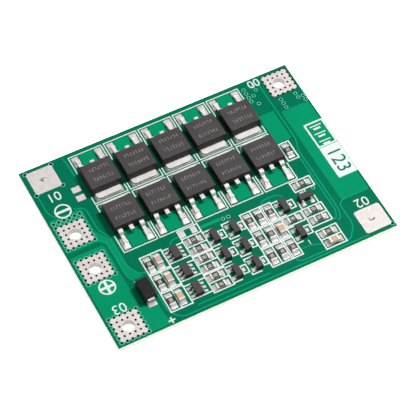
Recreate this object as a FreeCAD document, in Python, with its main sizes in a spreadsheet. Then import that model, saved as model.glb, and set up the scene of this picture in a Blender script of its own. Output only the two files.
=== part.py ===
"""Battery management board for a three-cell pack.

A 60 by 45 mm two-layer circuit board carries six solder terminals, ten power transistors in two
facing rows, and three controllers, nine small transistors, a diode, chip resistors and chip
capacitors along its lower half. Millimetres, +Z up, origin under the middle of the board on the
plane that the back lands stand on. +X runs along the long edge.
"""

import FreeCAD
import Part
import Sketcher

import math
import os
import re

DOC = FreeCAD.newDocument("battery_management_board")
SHEET = DOC.addObject("Spreadsheet::Sheet", "sizes")

SIZES = [
    ("laminate_thickness", 1.2, "glass-fibre laminate"),
    ("land_thickness", 0.07, "copper and tin of a solder land"),
    ("via_pitch", 1.12, "spacing of the stitching vias"),
    ("via_radius", 0.21, "open radius of a stitching via"),
    ("wire_hole_radius", 1.2, "clear radius of a plated wire hole"),
    ("plating_thickness", 0.08, "plating and tin of the barrel in a wire hole"),
    ("back_land_inset", 0.4, "back land edge, inside the outer ring of vias"),
    ("left_board_margin", 1.06, "board beyond the left terminals"),
    ("right_board_margin", 0.6, "board beyond the right terminals"),
    ("upper_board_margin", 1.475, "board beyond the lead lands of the upper row"),
    ("lower_board_margin", 1.745, "board beyond the lowest chip land"),
    ("corner_terminal_margin", 0.85, "long edge of the board to a corner terminal"),
    ("left_terminal_gap", 3.39, "transistor rows to the left terminals"),
    ("right_terminal_gap", 5.25, "transistor rows to the right terminals"),
    ("column_terminal_gap", 4.65, "right column of chips to the right terminals"),
    ("output_terminal_gap", 3.26, "between the two output terminals"),
    ("terminal_corner", 0.35, "corner cut of the plain right-hand terminal"),
    ("transistor_bank_x", -0.7, "middle of the power transistor rows"),
    ("transistor_bank_y", 8.8, "line midway between the two rows"),
    ("moulding_gap", 1.05, "between neighbouring mouldings of a row"),
    ("drain_land_gap", 0.95, "between the drain lands of the two rows"),
    ("moulding_width", 6.65, "power transistor moulding, across its leads"),
    ("moulding_length", 6.15, "power transistor moulding, along its leads"),
    ("moulding_height", 2.3, "power transistor moulding, over its land"),
    ("moulding_draft", 5.0, "draft of every moulded side, in degrees"),
    ("tab_side_step", 0.625, "side of the moulding to the side of the drain tab"),
    ("tab_reach", 1.3, "drain tab beyond the moulding"),
    ("tab_inside", 3.6, "drain plate under the moulding"),
    ("tab_corner", 0.5, "corner cut of the drain tab"),
    ("power_lead_pitch", 2.3, "middle lead to an outer lead"),
    ("power_lead_width", 0.9, "power transistor lead"),
    ("power_lead_thickness", 0.5, "power transistor lead and drain plate"),
    ("power_lead_height", 1.05, "middle of a lead over its land where it leaves the moulding"),
    ("power_lead_shoulder", 0.75, "level stretch of a lead at the moulding"),
    ("power_lead_reach", 2.9, "lead beyond the moulding"),
    ("cropped_lead_reach", 1.1, "cropped middle lead beyond the moulding"),
    ("lead_slope", 65.0, "slope of a gull-wing lead, in degrees"),
    ("drain_land_margin", 0.3, "drain land beyond each side of the tab"),
    ("drain_land_reach", 1.5, "drain land beyond the moulding"),
    ("drain_land_inside", 5.0, "drain land under the moulding"),
    ("power_lead_land_width", 1.45, "land of a power lead"),
    ("power_lead_land_length", 2.6, "land of a power lead"),
    ("power_lead_land_pitch", 2.5, "moulding centre to the land of an outer lead"),
    ("power_lead_land_margin", 1.2, "land beyond the toe of a power lead"),
    ("small_body_length", 2.9, "small transistor and controller, along the lead rows"),
    ("transistor_body_width", 1.35, "small transistor, across"),
    ("controller_body_width", 1.6, "controller, across"),
    ("small_body_height", 1.0, "moulding of a small transistor or controller"),
    ("small_standoff", 0.06, "moulding over its lands"),
    ("small_lead_pitch", 0.95, "spacing of the small leads"),
    ("small_lead_width", 0.42, "small lead"),
    ("small_lead_thickness", 0.14, "small lead"),
    ("small_lead_shoulder", 0.12, "level stretch of a small lead at the moulding"),
    ("small_lead_reach", 0.6, "small lead beyond the moulding"),
    ("small_land_length", 1.0, "land of a small lead, along the lead"),
    ("small_land_margin", 0.4, "land beyond the toe of a small lead"),
    ("transistor_land_width", 0.9, "land of a small transistor lead"),
    ("controller_land_width", 0.6, "land of a controller lead"),
    ("diode_length", 4.3, "diode moulding, along its leads"),
    ("diode_width", 2.6, "diode moulding, across"),
    ("diode_height", 2.2, "diode moulding, over its lands"),
    ("diode_standoff", 0.3, "diode moulding over its lands"),
    ("diode_lead_width", 1.45, "diode lead"),
    ("diode_lead_thickness", 0.22, "diode lead"),
    ("diode_lead_reach", 0.4, "diode lead beyond the moulding"),
    ("diode_foot_length", 1.3, "diode lead folded under the moulding"),
    ("diode_land_length", 2.1, "diode land"),
    ("diode_land_width", 1.9, "diode land"),
    ("diode_land_margin", 0.75, "diode land beyond the folded lead"),
    ("chip_length", 2.0, "chip resistor and capacitor, with end caps"),
    ("chip_width", 1.25, "chip resistor and capacitor"),
    ("resistor_height", 0.5, "chip resistor"),
    ("capacitor_height", 0.9, "chip capacitor"),
    ("cap_length", 0.35, "end cap of a chip"),
    ("cap_wall", 0.03, "end cap over the ceramic"),
    ("chip_land_length", 1.2, "land of a chip"),
    ("chip_land_width", 1.45, "land of a chip"),
    ("chip_land_pitch", 2.5, "centre to centre of the two lands of a chip"),
    ("chip_gap", 0.83, "between the lands of chips that lie side by side"),
    ("bank_gap", 0.85, "between the lands of one control circuit and the next"),
    ("gate_resistor_gap", 1.3, "lower lead lands to the gate resistor"),
    ("gate_transistor_gap", 0.8, "gate resistor to the transistor below it"),
    ("gate_resistor_shift", 1.0, "gate resistor to the right of its column"),
    ("balance_gap", 2.475, "left end of the rows to the left column of chip resistors"),
    ("filter_gap", 0.5, "left column of chip resistors to the column of chip capacitors"),
    ("controller_gap", 1.125, "column of chip capacitors to the controllers"),
    ("stack_gap", 0.8, "controllers to the middle stack of chip resistors"),
    ("stack_top_gap", 1.09, "lower lead lands to the top place of the middle stack"),
    ("first_transistor_gap", 0.555, "middle stack to the first column of small transistors"),
    ("second_transistor_gap", 0.95, "between the two columns of small transistors"),
    ("array_gap", 0.87, "small transistors to the right resistor array"),
    ("driver_gap", 0.69, "right resistor array to the driver transistors"),
    ("driver_resistor_gap", 1.2, "driver transistors to the resistor between them"),
    ("right_column_gap", 1.175, "driver transistors to the right column of chips"),
    ("edge_resistor_gap", 0.575, "right end of the rows to the upright resistor beside them"),
    ("edge_resistor_drop", 0.85, "upright resistor below the middle of the lower row"),
    ("diode_gap", 1.325, "diode to the left column of chip resistors"),
    ("diode_drop", 0.7, "diode below the middle control circuit"),
    ("test_land_gap", 0.65, "left end of the rows to the pair of bare test lands"),
    ("test_land_drop", 1.15, "pair of test lands below the middle of the upper row"),
    ("test_land_pitch", 2.2, "spacing of the test lands"),
    ("test_land_length", 1.8, "test land, along X"),
    ("test_land_width", 1.4, "test land, along Y"),
    ("signal_via_shift", 0.33, "pair of signal vias to the left of the second transistor column"),
    ("signal_via_drop", 2.175, "lower lead lands to the pair of signal vias"),
]

for row, (alias, value, note) in enumerate(SIZES, start=1):
    SHEET.set(f"A{row}", alias)
    SHEET.set(f"B{row}", str(value))
    SHEET.set(f"C{row}", note)
    SHEET.setAlias(f"B{row}", alias)
DOC.recompute()

ALIASES = {alias for alias, _, _ in SIZES}

TERMINAL_VIAS = 6
TRANSISTORS_IN_ROW = 5
CIRCUITS = 3
STACK_RESISTORS = 6

TERMINAL_SIDE = f"({TERMINAL_VIAS - 1} * via_pitch)"
LAMINATE_BASE = "land_thickness"
LAMINATE_TOP = "(land_thickness + laminate_thickness)"
LAND_TOP = "(2 * land_thickness + laminate_thickness)"

# The power transistors: spacing, ends of the rows, and how far their lead lands reach
TAB_WIDTH = "(moulding_width - 2 * tab_side_step)"
TRANSISTOR_PITCH = "(moulding_width + moulding_gap)"
ROW_HALF_LENGTH = f"({TRANSISTORS_IN_ROW} / 2 * {TRANSISTOR_PITCH})"
ROWS_LEFT = f"(transistor_bank_x - {ROW_HALF_LENGTH})"
ROWS_RIGHT = f"(transistor_bank_x + {ROW_HALF_LENGTH})"
ROW_OFFSET = "((moulding_length + drain_land_gap) / 2 + drain_land_reach)"
LEAD_LAND_REACH = "(moulding_length / 2 + power_lead_reach + power_lead_land_margin)"
LEAD_LANDS_TOP = f"(transistor_bank_y + {ROW_OFFSET} + {LEAD_LAND_REACH})"
LEAD_LANDS_BASE = f"(transistor_bank_y - {ROW_OFFSET} - {LEAD_LAND_REACH})"

# Half sizes of the small parts with their lands
CHIP_HALF_LENGTH = "((chip_land_pitch + chip_land_length) / 2)"
CHIP_HALF_WIDTH = "(chip_land_width / 2)"
TRANSISTOR_HALF = "(transistor_body_width / 2 + small_lead_reach + small_land_margin)"
CONTROLLER_HALF = "(controller_body_width / 2 + small_lead_reach + small_land_margin)"

# Rows of the control circuits, from the lead lands of the lower row downward
CHIP_PITCH = "(chip_land_width + chip_gap)"
BANK_PITCH = f"(2 * {CHIP_HALF_LENGTH} + bank_gap)"
GATE_RESISTOR_Y = f"({LEAD_LANDS_BASE} - gate_resistor_gap - {CHIP_HALF_WIDTH})"
BANK_TOP_Y = f"({GATE_RESISTOR_Y} - {CHIP_HALF_WIDTH} - gate_transistor_gap - {TRANSISTOR_HALF})"
STACK_TOP_Y = f"({LEAD_LANDS_BASE} - stack_top_gap - {CHIP_HALF_WIDTH})"
DRIVER_STEP = f"(small_body_length / 2 + driver_resistor_gap + {CHIP_HALF_WIDTH})"
RIGHT_COLUMN_Y = f"({BANK_TOP_Y} - {TRANSISTOR_HALF} - bank_gap - {CHIP_HALF_WIDTH})"

# Columns of the control circuits, from the left end of the rows to the right
BALANCE_X = f"({ROWS_LEFT} + balance_gap + {CHIP_HALF_WIDTH})"
FILTER_X = f"({BALANCE_X} + chip_land_width + filter_gap)"
CONTROLLER_X = f"({FILTER_X} + {CHIP_HALF_WIDTH} + controller_gap + {CONTROLLER_HALF})"
STACK_X = f"({CONTROLLER_X} + {CONTROLLER_HALF} + stack_gap + {CHIP_HALF_LENGTH})"
FIRST_TRANSISTOR_X = f"({STACK_X} + {CHIP_HALF_LENGTH} + first_transistor_gap + {TRANSISTOR_HALF})"
SECOND_TRANSISTOR_X = f"({FIRST_TRANSISTOR_X} + 2 * {TRANSISTOR_HALF} + second_transistor_gap)"
ARRAY_X = f"({SECOND_TRANSISTOR_X} + {TRANSISTOR_HALF} + array_gap + {CHIP_HALF_WIDTH})"
ARRAY_RIGHT_X = f"({ARRAY_X} + 2 * {CHIP_PITCH} + {CHIP_HALF_WIDTH})"
DRIVER_X = f"({ARRAY_RIGHT_X} + driver_gap + {TRANSISTOR_HALF})"
RIGHT_COLUMN_X = f"({DRIVER_X} + {TRANSISTOR_HALF} + right_column_gap + {CHIP_HALF_LENGTH})"
DIODE_X = f"({BALANCE_X} - {CHIP_HALF_WIDTH} - diode_gap - diode_width / 2)"
DIODE_Y = f"({BANK_TOP_Y} - {BANK_PITCH} - diode_drop)"

# Board edges and terminals. The right terminals clear the rows and the right column alike
BOARD_TOP = f"({LEAD_LANDS_TOP} + upper_board_margin)"
BOARD_BASE = (
    f"({BANK_TOP_Y} - {CIRCUITS - 1} * {BANK_PITCH} - {CHIP_PITCH} - {CHIP_HALF_WIDTH}"
    " - lower_board_margin)"
)
LEFT_X = f"({ROWS_LEFT} - left_terminal_gap - {TERMINAL_SIDE} / 2)"
CHIPS_RIGHT = f"({RIGHT_COLUMN_X} + {CHIP_HALF_LENGTH})"
TERMINALS_START = (
    f"max({ROWS_RIGHT} + right_terminal_gap; {CHIPS_RIGHT} + column_terminal_gap)"
)
RIGHT_X = f"({TERMINALS_START} + {TERMINAL_SIDE} / 2)"
BOARD_LEFT = f"({LEFT_X} - {TERMINAL_SIDE} / 2 - left_board_margin)"
BOARD_RIGHT = f"({RIGHT_X} + {TERMINAL_SIDE} / 2 + right_board_margin)"
UPPER_Y = f"({BOARD_TOP} - corner_terminal_margin - {TERMINAL_SIDE} / 2)"
LOWER_Y = f"({BOARD_BASE} + corner_terminal_margin + {TERMINAL_SIDE} / 2)"
OUTPUT_SHIFT = f"((output_terminal_gap + {TERMINAL_SIDE}) / 2)"
OUTPUT_MIDDLE = f"(({BOARD_TOP} + {BOARD_BASE}) / 2)"
OUTPUT_MINUS_Y = f"({OUTPUT_MIDDLE} + {OUTPUT_SHIFT})"
OUTPUT_PLUS_Y = f"({OUTPUT_MIDDLE} - {OUTPUT_SHIFT})"

# Each terminal: name, centre, and its form, of which "bored" has the via grid and the wire hole
TERMINALS = [
    ("terminal_first_tap", LEFT_X, UPPER_Y, "corner_vias"),
    ("terminal_output_minus", LEFT_X, OUTPUT_MINUS_Y, "bored"),
    ("terminal_output_plus", LEFT_X, OUTPUT_PLUS_Y, "bored"),
    ("terminal_pack_plus", LEFT_X, LOWER_Y, "bored"),
    ("terminal_pack_minus", RIGHT_X, UPPER_Y, "bored"),
    ("terminal_second_tap", RIGHT_X, LOWER_Y, "cut_corners"),
]

# A via is drilled with six flats: at its size they look round, and its facets stay few
VIA_SIDES = 6

# Vias stitched beside and below the pack minus terminal, counted in pitches from its upper left
# via: column to the right, row down to the lowest one, number of vias
STITCHES = [(-4, 4, 4), (-3, 3, 1), (-3, 5, 1), (-2, 2, 2), (1, 8, 3), (4, 7, 2), (5, 8, 2)]


def formula(text):
    """An expression with every size name turned into its cell."""
    return re.sub(r"[a-z_]+", lambda word: "sizes." + word[0] if word[0] in ALIASES else word[0], text)


def bind(obj, prop, text):
    obj.setExpression(prop, formula(text))


def place(obj, x, y, z, turn=0.0):
    obj.Placement = FreeCAD.Placement(
        FreeCAD.Vector(0, 0, 0), FreeCAD.Rotation(FreeCAD.Vector(0, 0, 1), turn)
    )
    bind(obj, "Placement.Base.x", x)
    bind(obj, "Placement.Base.y", y)
    bind(obj, "Placement.Base.z", z)


def group(name, pieces):
    compound = DOC.addObject("Part::Compound", name)
    compound.Label = name
    compound.Links = pieces
    return compound


def new_body(name):
    body = DOC.addObject("PartDesign::Body", name)
    body.Label = name
    body.AllowCompound = True
    return body


def attach(sketch, body, plane):
    origin_plane = next(item for item in body.Origin.OriginFeatures if item.Role == plane)
    sketch.AttachmentSupport = [(origin_plane, "")]
    sketch.MapMode = "FlatFace"


def outline(body, name, points, plane="XY_Plane", lift="0"):
    """A closed outline whose corners are each dimensioned from the sketch's origin."""
    sketch = body.newObject("Sketcher::SketchObject", name)
    attach(sketch, body, plane)
    bind(sketch, "AttachmentOffset.Base.z", lift)
    count = len(points)
    for corner in range(count):
        start = 2 * math.pi * corner / count
        end = 2 * math.pi * (corner + 1) / count
        sketch.addGeometry(
            Part.LineSegment(
                FreeCAD.Vector(math.cos(start), math.sin(start), 0),
                FreeCAD.Vector(math.cos(end), math.sin(end), 0),
            ),
            False,
        )
    for corner in range(count):
        sketch.addConstraint(Sketcher.Constraint("Coincident", corner, 2, (corner + 1) % count, 1))
    for corner, (across, up) in enumerate(points):
        for kind, text in (("DistanceX", across), ("DistanceY", up)):
            index = sketch.addConstraint(Sketcher.Constraint(kind, -1, 1, corner, 1, 1.0))
            bind(sketch, f"Constraints[{index}]", text)
    return sketch


def rectangle(half_x, half_y, x="0", y="0"):
    return [
        (f"{x} - {half_x}", f"{y} - {half_y}"),
        (f"{x} + {half_x}", f"{y} - {half_y}"),
        (f"{x} + {half_x}", f"{y} + {half_y}"),
        (f"{x} - {half_x}", f"{y} + {half_y}"),
    ]


def polygon(radius, sides):
    return [
        (f"{radius} * cos({360 * k / sides} * 1 deg)", f"{radius} * sin({360 * k / sides} * 1 deg)")
        for k in range(sides)
    ]


def circle(body, name, radius, lift="0"):
    sketch = body.newObject("Sketcher::SketchObject", name)
    attach(sketch, body, "XY_Plane")
    bind(sketch, "AttachmentOffset.Base.z", lift)
    sketch.addGeometry(Part.Circle(FreeCAD.Vector(0, 0, 0), FreeCAD.Vector(0, 0, 1), 1.0), False)
    sketch.addConstraint(Sketcher.Constraint("Coincident", 0, 3, -1, 1))
    index = sketch.addConstraint(Sketcher.Constraint("Radius", 0, 1.0))
    bind(sketch, f"Constraints[{index}]", radius)
    return sketch


def pad(body, name, sketch, length, taper="0", down=False):
    feature = body.newObject("PartDesign::Pad", name)
    feature.Profile = sketch
    bind(feature, "Length", length)
    bind(feature, "TaperAngle", taper)
    feature.Reversed = down
    return feature


def strip(body, name, sketch, width):
    """A side profile given its width, half to each side."""
    feature = body.newObject("PartDesign::Pad", name)
    feature.Profile = sketch
    feature.SideType = "Symmetric"
    bind(feature, "Length", width)
    return feature


def drill(body, name, sketch):
    """A cut through everything above the sketch."""
    feature = body.newObject("PartDesign::Pocket", name)
    feature.Profile = sketch
    feature.Type = "ThroughAll"
    feature.Reversed = True
    return feature


def groove(body, name, sketch, width):
    """A side profile cut away, half its width to each side."""
    feature = body.newObject("PartDesign::Pocket", name)
    feature.Profile = sketch
    feature.SideType = "Symmetric"
    bind(feature, "Length", width)
    return feature


def mirror(body, name, feature, plane):
    twin = body.newObject("PartDesign::Mirrored", name)
    twin.Originals = [feature]
    twin.MirrorPlane = (next(item for item in body.Origin.OriginFeatures if item.Role == plane), [""])
    body.Tip = twin
    return twin


def row_step(body, name, sketch, axis, count, pitch):
    step = body.newObject("PartDesign::LinearPattern", name)
    step.Direction = (sketch, [axis])
    step.Mode = "Spacing"
    bind(step, "Offset", pitch)
    step.Occurrences = count
    return step


def via_grid(body, name, first_x, first_y, columns, rows, pitch="via_pitch", lift="0"):
    """Stitching vias in columns and rows, drilled upward from their lower left one."""
    sketch = outline(body, name + "_outline", polygon("via_radius", VIA_SIDES), lift=lift)
    bind(sketch, "AttachmentOffset.Base.x", first_x)
    bind(sketch, "AttachmentOffset.Base.y", first_y)
    first = drill(body, name, sketch)
    steps = []
    if columns > 1:
        steps.append(row_step(body, name + "_columns", sketch, "H_Axis", columns, pitch))
    if rows > 1:
        steps.append(row_step(body, name + "_rows", sketch, "V_Axis", rows, pitch))
    if steps:
        grid = body.newObject("PartDesign::MultiTransform", name + "_grid")
        grid.Originals = [first]
        grid.Transformations = steps
        body.Tip = grid


# The printed wiring board: one laminate plate, bored for the wires and drilled for the vias


def drill_rods(name, first_x, first_y, columns, rows, pitch="via_pitch"):
    """Drills for vias in columns and rows, from their lower left one."""
    rods = []
    for column in range(columns):
        for level in range(rows):
            rod = DOC.addObject("Part::Prism", f"{name}_{column}_{level}")
            rod.Polygon = VIA_SIDES
            bind(rod, "Circumradius", "via_radius")
            bind(rod, "Height", LAND_TOP)
            place(rod, f"{first_x} + {column} * {pitch}", f"{first_y} + {level} * {pitch}", "0")
            rods.append(rod)
    return rods


def build_wiring_board():
    plate = new_body("laminate_plate")
    place(plate, "0", "0", LAMINATE_BASE)
    corners = [
        (BOARD_LEFT, BOARD_BASE), (BOARD_RIGHT, BOARD_BASE),
        (BOARD_RIGHT, BOARD_TOP), (BOARD_LEFT, BOARD_TOP),
    ]
    edge = outline(plate, "board_edge", corners)
    pad(plate, "laminate", edge, "laminate_thickness")
    half = f"{TERMINAL_SIDE} / 2"
    rods = []
    for name, x, y, form in TERMINALS:
        if form == "bored":
            hole = circle(plate, name + "_bore_edge", "wire_hole_radius + plating_thickness")
            bind(hole, "AttachmentOffset.Base.x", x)
            bind(hole, "AttachmentOffset.Base.y", y)
            drill(plate, name + "_bore", hole)
            rods += drill_rods(
                name + "_rod", f"{x} - {half}", f"{y} - {half}", TERMINAL_VIAS, TERMINAL_VIAS
            )
    rods += drill_rods(
        "first_tap_rod", f"{LEFT_X} - {half}", f"{UPPER_Y} - {half}", 2, 2, TERMINAL_SIDE
    )
    rods += drill_rods("second_tap_rod", f"{RIGHT_X} + {half}", f"{LOWER_Y} - {half}", 1, 1)
    rods += drill_rods(
        "output_minus_row", f"{LEFT_X} - {half}", f"{OUTPUT_MINUS_Y} + {half} + via_pitch",
        TERMINAL_VIAS, 1,
    )
    for order, (column, lowest, count) in enumerate(STITCHES):
        rods += drill_rods(
            f"stitch_{order}", f"{RIGHT_X} - {half} + {column} * via_pitch",
            f"{UPPER_Y} + {half} - {lowest} * via_pitch", 1, count,
        )
    rods += drill_rods(
        "signal_rod", f"{SECOND_TRANSISTOR_X} - signal_via_shift - via_pitch / 2",
        f"{LEAD_LANDS_BASE} - signal_via_drop", 2, 1,
    )
    board = DOC.addObject("Part::Cut", "wiring_board")
    board.Base = plate
    board.Tool = group("via_drills", rods)
    return board


# Terminals: a tinned land on each face, joined through the board by the plated wire hole. The
# vias are open in the front land. The back land closes the inner ones with tin


def cut_corners(half, cut):
    return [
        (f"-{half} + {cut}", f"-{half}"), (f"{half} - {cut}", f"-{half}"),
        (f"{half}", f"-{half} + {cut}"), (f"{half}", f"{half} - {cut}"),
        (f"{half} - {cut}", f"{half}"), (f"-{half} + {cut}", f"{half}"),
        (f"-{half}", f"{half} - {cut}"), (f"-{half}", f"-{half} + {cut}"),
    ]


def build_plain_terminal(name, x, y, form):
    body = new_body(name)
    place(body, x, y, LAMINATE_TOP)
    half = f"{TERMINAL_SIDE} / 2"
    corner_vias = form == "corner_vias"
    corners = rectangle(half, half) if corner_vias else cut_corners(half, "terminal_corner")
    top = outline(body, name + "_edge", corners)
    pad(body, name + "_land", top, "land_thickness")
    if corner_vias:
        via_grid(body, name + "_corner_vias", f"-{half}", f"-{half}", 2, 2, TERMINAL_SIDE)
    return body


def build_bored_terminal(name, x, y):
    body = new_body(name)
    place(body, x, y, "0")
    half = f"{TERMINAL_SIDE} / 2"
    back_half = f"({half} - back_land_inset)"
    back = outline(body, name + "_back_edge", rectangle(back_half, back_half))
    pad(body, name + "_back_land", back, "land_thickness")
    barrel = circle(body, name + "_barrel_edge", "wire_hole_radius + plating_thickness")
    pad(body, name + "_barrel", barrel, LAND_TOP)
    top = outline(body, name + "_edge", rectangle(half, half), lift=LAMINATE_TOP)
    pad(body, name + "_land", top, "land_thickness")
    via_grid(
        body, name + "_vias", f"-{half}", f"-{half}", TERMINAL_VIAS, TERMINAL_VIAS, lift=LAMINATE_BASE
    )
    hole = circle(body, name + "_hole_edge", "wire_hole_radius")
    drill(body, name + "_hole", hole)
    return body


# Mouldings: a level band where the leads leave, drafted above and below it


def moulding(body, half_x, half_y, base, height, band_middle, band):
    level = f"({band_middle} - {band} / 2)"
    edge = outline(body, body.Name + "_parting", rectangle(half_x, half_y), lift=level)
    pad(body, body.Name + "_band", edge, band)
    pad(body, body.Name + "_lower", edge, f"{level} - {base}", "-moulding_draft", down=True)
    upper = outline(
        body, body.Name + "_shoulder", rectangle(half_x, half_y), lift=f"{level} + {band}"
    )
    return pad(
        body, body.Name + "_upper", upper, f"{base} + {height} - {level} - {band}", "-moulding_draft"
    )


def gull_wing(root, height, thickness, shoulder, reach, sign=-1):
    """Side profile of a lead: level shoulder, slope, foot on its land. It points to -Y."""
    turn = f"{thickness} * tan(lead_slope / 2 * 1 deg)"
    run = f"({height} - {thickness} / 2) / tan(lead_slope * 1 deg)"
    bend = f"({root} + {shoulder})"
    toe = f"({root} + {reach})"
    upper = f"({height} + {thickness} / 2)"
    lower = f"({height} - {thickness} / 2)"
    return [
        (f"{sign} * {root}", upper),
        (f"{sign} * {bend}", upper),
        (f"{sign} * ({bend} + {run})", thickness),
        (f"{sign} * {toe}", thickness),
        (f"{sign} * {toe}", "0"),
        (f"{sign} * ({bend} + {run} - {turn})", "0"),
        (f"{sign} * ({bend} - {turn})", lower),
        (f"{sign} * {root}", lower),
    ]


# Power transistors: moulding over a drain plate whose middle lead is cropped, and two long leads


POWER_HALF_LENGTH = "(moulding_length / 2)"


def drain_plate_outline():
    half = f"{TAB_WIDTH} / 2"
    far = "(moulding_length / 2 + tab_reach)"
    near = "(moulding_length / 2 - tab_inside)"
    return [
        (f"-{half}", near), (half, near),
        (half, f"{far} - tab_corner"), (f"{half} - tab_corner", far),
        (f"-{half} + tab_corner", far), (f"-{half}", f"{far} - tab_corner"),
    ]


def middle_lead_profile():
    """From the drain plate up to the middle lead, as one formed strip."""
    near = "(moulding_length / 2 - tab_inside)"
    rise = "(power_lead_height - power_lead_thickness / 2)"
    end = "(moulding_length / 2 + cropped_lead_reach)"
    return [
        (near, "0"),
        (near, "power_lead_thickness"),
        (f"{near} - {rise}", "power_lead_height + power_lead_thickness / 2"),
        (f"-{end}", "power_lead_height + power_lead_thickness / 2"),
        (f"-{end}", "power_lead_height - power_lead_thickness / 2"),
        (f"{near} - {rise}", rise),
    ]


def build_power_moulding(name, x, y, turn):
    body = new_body(name)
    place(body, x, y, LAND_TOP, turn)
    moulding(
        body, "moulding_width / 2", POWER_HALF_LENGTH, "0", "moulding_height",
        "power_lead_height", "power_lead_thickness",
    )
    plate = outline(body, name + "_plate_seat", drain_plate_outline())
    seat = body.newObject("PartDesign::Pocket", name + "_plate_pocket")
    seat.Profile = plate
    seat.Reversed = True
    bind(seat, "Length", "power_lead_thickness")
    lead = outline(body, name + "_lead_seat", middle_lead_profile(), "YZ_Plane")
    groove(body, name + "_lead_groove", lead, "power_lead_width")
    return body


def build_power_leads(name, x, y, turn):
    body = new_body(name)
    place(body, x, y, LAND_TOP, turn)
    plate = outline(body, name + "_plate_edge", drain_plate_outline())
    pad(body, name + "_plate", plate, "power_lead_thickness")
    middle = outline(body, name + "_middle_profile", middle_lead_profile(), "YZ_Plane")
    strip(body, name + "_middle_lead", middle, "power_lead_width")
    profile = gull_wing(
        POWER_HALF_LENGTH, "power_lead_height", "power_lead_thickness",
        "power_lead_shoulder", "power_lead_reach",
    )
    side = outline(body, name + "_profile", profile, "YZ_Plane", lift="power_lead_pitch")
    lead = strip(body, name + "_source_lead", side, "power_lead_width")
    mirror(body, name + "_gate_lead", lead, "YZ_Plane")
    return body


# Small transistors and controllers: two lead rows, one on each long side


def build_small_moulding(name, x, y, turn, width):
    body = new_body(name)
    place(body, x, y, LAND_TOP, turn)
    moulding(
        body, "small_body_length / 2", f"{width} / 2", "small_standoff", "small_body_height",
        "(small_standoff + small_body_height / 2)", "small_lead_thickness",
    )
    return body


def small_profile(width, sign):
    return gull_wing(
        f"({width} / 2)", "(small_standoff + small_body_height / 2)", "small_lead_thickness",
        "small_lead_shoulder", "small_lead_reach", sign,
    )


def build_transistor_leads(name, x, y, turn):
    body = new_body(name)
    place(body, x, y, LAND_TOP, turn)
    width = "transistor_body_width"
    pair = outline(
        body, name + "_pair_profile", small_profile(width, -1), "YZ_Plane", "small_lead_pitch"
    )
    lead = strip(body, name + "_pair_lead", pair, "small_lead_width")
    mirror(body, name + "_pair", lead, "YZ_Plane")
    single = outline(body, name + "_single_profile", small_profile(width, 1), "YZ_Plane")
    strip(body, name + "_single_lead", single, "small_lead_width")
    return body


def build_controller_leads(name, x, y, turn):
    body = new_body(name)
    place(body, x, y, LAND_TOP, turn)
    width = "controller_body_width"
    for side, sign in (("near", -1), ("far", 1)):
        for order, shift in enumerate(("-small_lead_pitch", "0", "small_lead_pitch"), start=1):
            profile = outline(
                body, f"{name}_{side}_profile_{order}", small_profile(width, sign), "YZ_Plane", shift
            )
            strip(body, f"{name}_{side}_lead_{order}", profile, "small_lead_width")
    return body


# The diode: its leads leave at mid height and fold under the moulding


def build_diode():
    body = new_body("diode_body")
    place(body, DIODE_X, DIODE_Y, LAND_TOP)
    moulding(
        body, "diode_width / 2", "diode_length / 2", "diode_standoff",
        "(diode_height - diode_standoff)", "(diode_height / 2)", "diode_lead_thickness",
    )
    leads = new_body("diode_leads")
    place(leads, DIODE_X, DIODE_Y, LAND_TOP)
    face = "(diode_length / 2)"
    out = f"({face} + diode_lead_reach)"
    upper = "(diode_height / 2 + diode_lead_thickness / 2)"
    lower = "(diode_height / 2 - diode_lead_thickness / 2)"
    inner = f"({out} - diode_lead_thickness)"
    foot = f"({out} - diode_foot_length)"
    side = [
        (f"-{face}", upper), (f"-{out}", upper), (f"-{out}", "0"), (f"-{foot}", "0"),
        (f"-{foot}", "diode_lead_thickness"), (f"-{inner}", "diode_lead_thickness"),
        (f"-{inner}", lower), (f"-{face}", lower),
    ]
    profile = outline(leads, "diode_lead_profile", side, "YZ_Plane")
    lead = strip(leads, "diode_cathode_lead", profile, "diode_lead_width")
    mirror(leads, "diode_anode_lead", lead, "XZ_Plane")
    return [body, leads]


# Blocks: chips and solder lands are made of these, each a solid of its own in its node


def block(name, x, y, z, length, width, height):
    box = DOC.addObject("Part::Box", name)
    bind(box, "Length", length)
    bind(box, "Width", width)
    bind(box, "Height", height)
    place(box, f"{x} - {length} / 2", f"{y} - {width} / 2", z)
    return box


def oriented(name, x, y, z, length, width, height, upright):
    if upright:
        return block(name, x, y, z, width, length, height)
    return block(name, x, y, z, length, width, height)


def shifted(x, y, shift, upright):
    return (x, f"{y} + {shift}") if upright else (f"{x} + {shift}", y)


def bank_row(order):
    return f"({BANK_TOP_Y} - {order} * {BANK_PITCH})"


# Each chip: centre, and whether it stands upright in the plan
RESISTORS = (
    [(BALANCE_X, bank_row(k), True) for k in range(CIRCUITS)]
    + [(STACK_X, f"({STACK_TOP_Y} - {k + 1} * {CHIP_PITCH})", False) for k in range(STACK_RESISTORS)]
    + [(ARRAY_X, bank_row(k), True) for k in range(CIRCUITS)]
    + [(f"({ARRAY_X} + {CHIP_PITCH})", bank_row(k), True) for k in range(CIRCUITS)]
    + [(f"({ARRAY_X} + 2 * {CHIP_PITCH})", bank_row(k), True) for k in (0, 2)]
    + [
        (DRIVER_X, f"({BANK_TOP_Y} - {DRIVER_STEP})", False),
        (f"({RIGHT_COLUMN_X} + gate_resistor_shift)", GATE_RESISTOR_Y, False),
        (
            f"({ROWS_RIGHT} + edge_resistor_gap + {CHIP_HALF_WIDTH})",
            f"(transistor_bank_y - {ROW_OFFSET} - edge_resistor_drop)", True,
        ),
        (RIGHT_COLUMN_X, RIGHT_COLUMN_Y, False),
        (RIGHT_COLUMN_X, f"({RIGHT_COLUMN_Y} - {CHIP_PITCH})", False),
        (RIGHT_COLUMN_X, bank_row(2), False),
    ]
)
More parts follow.
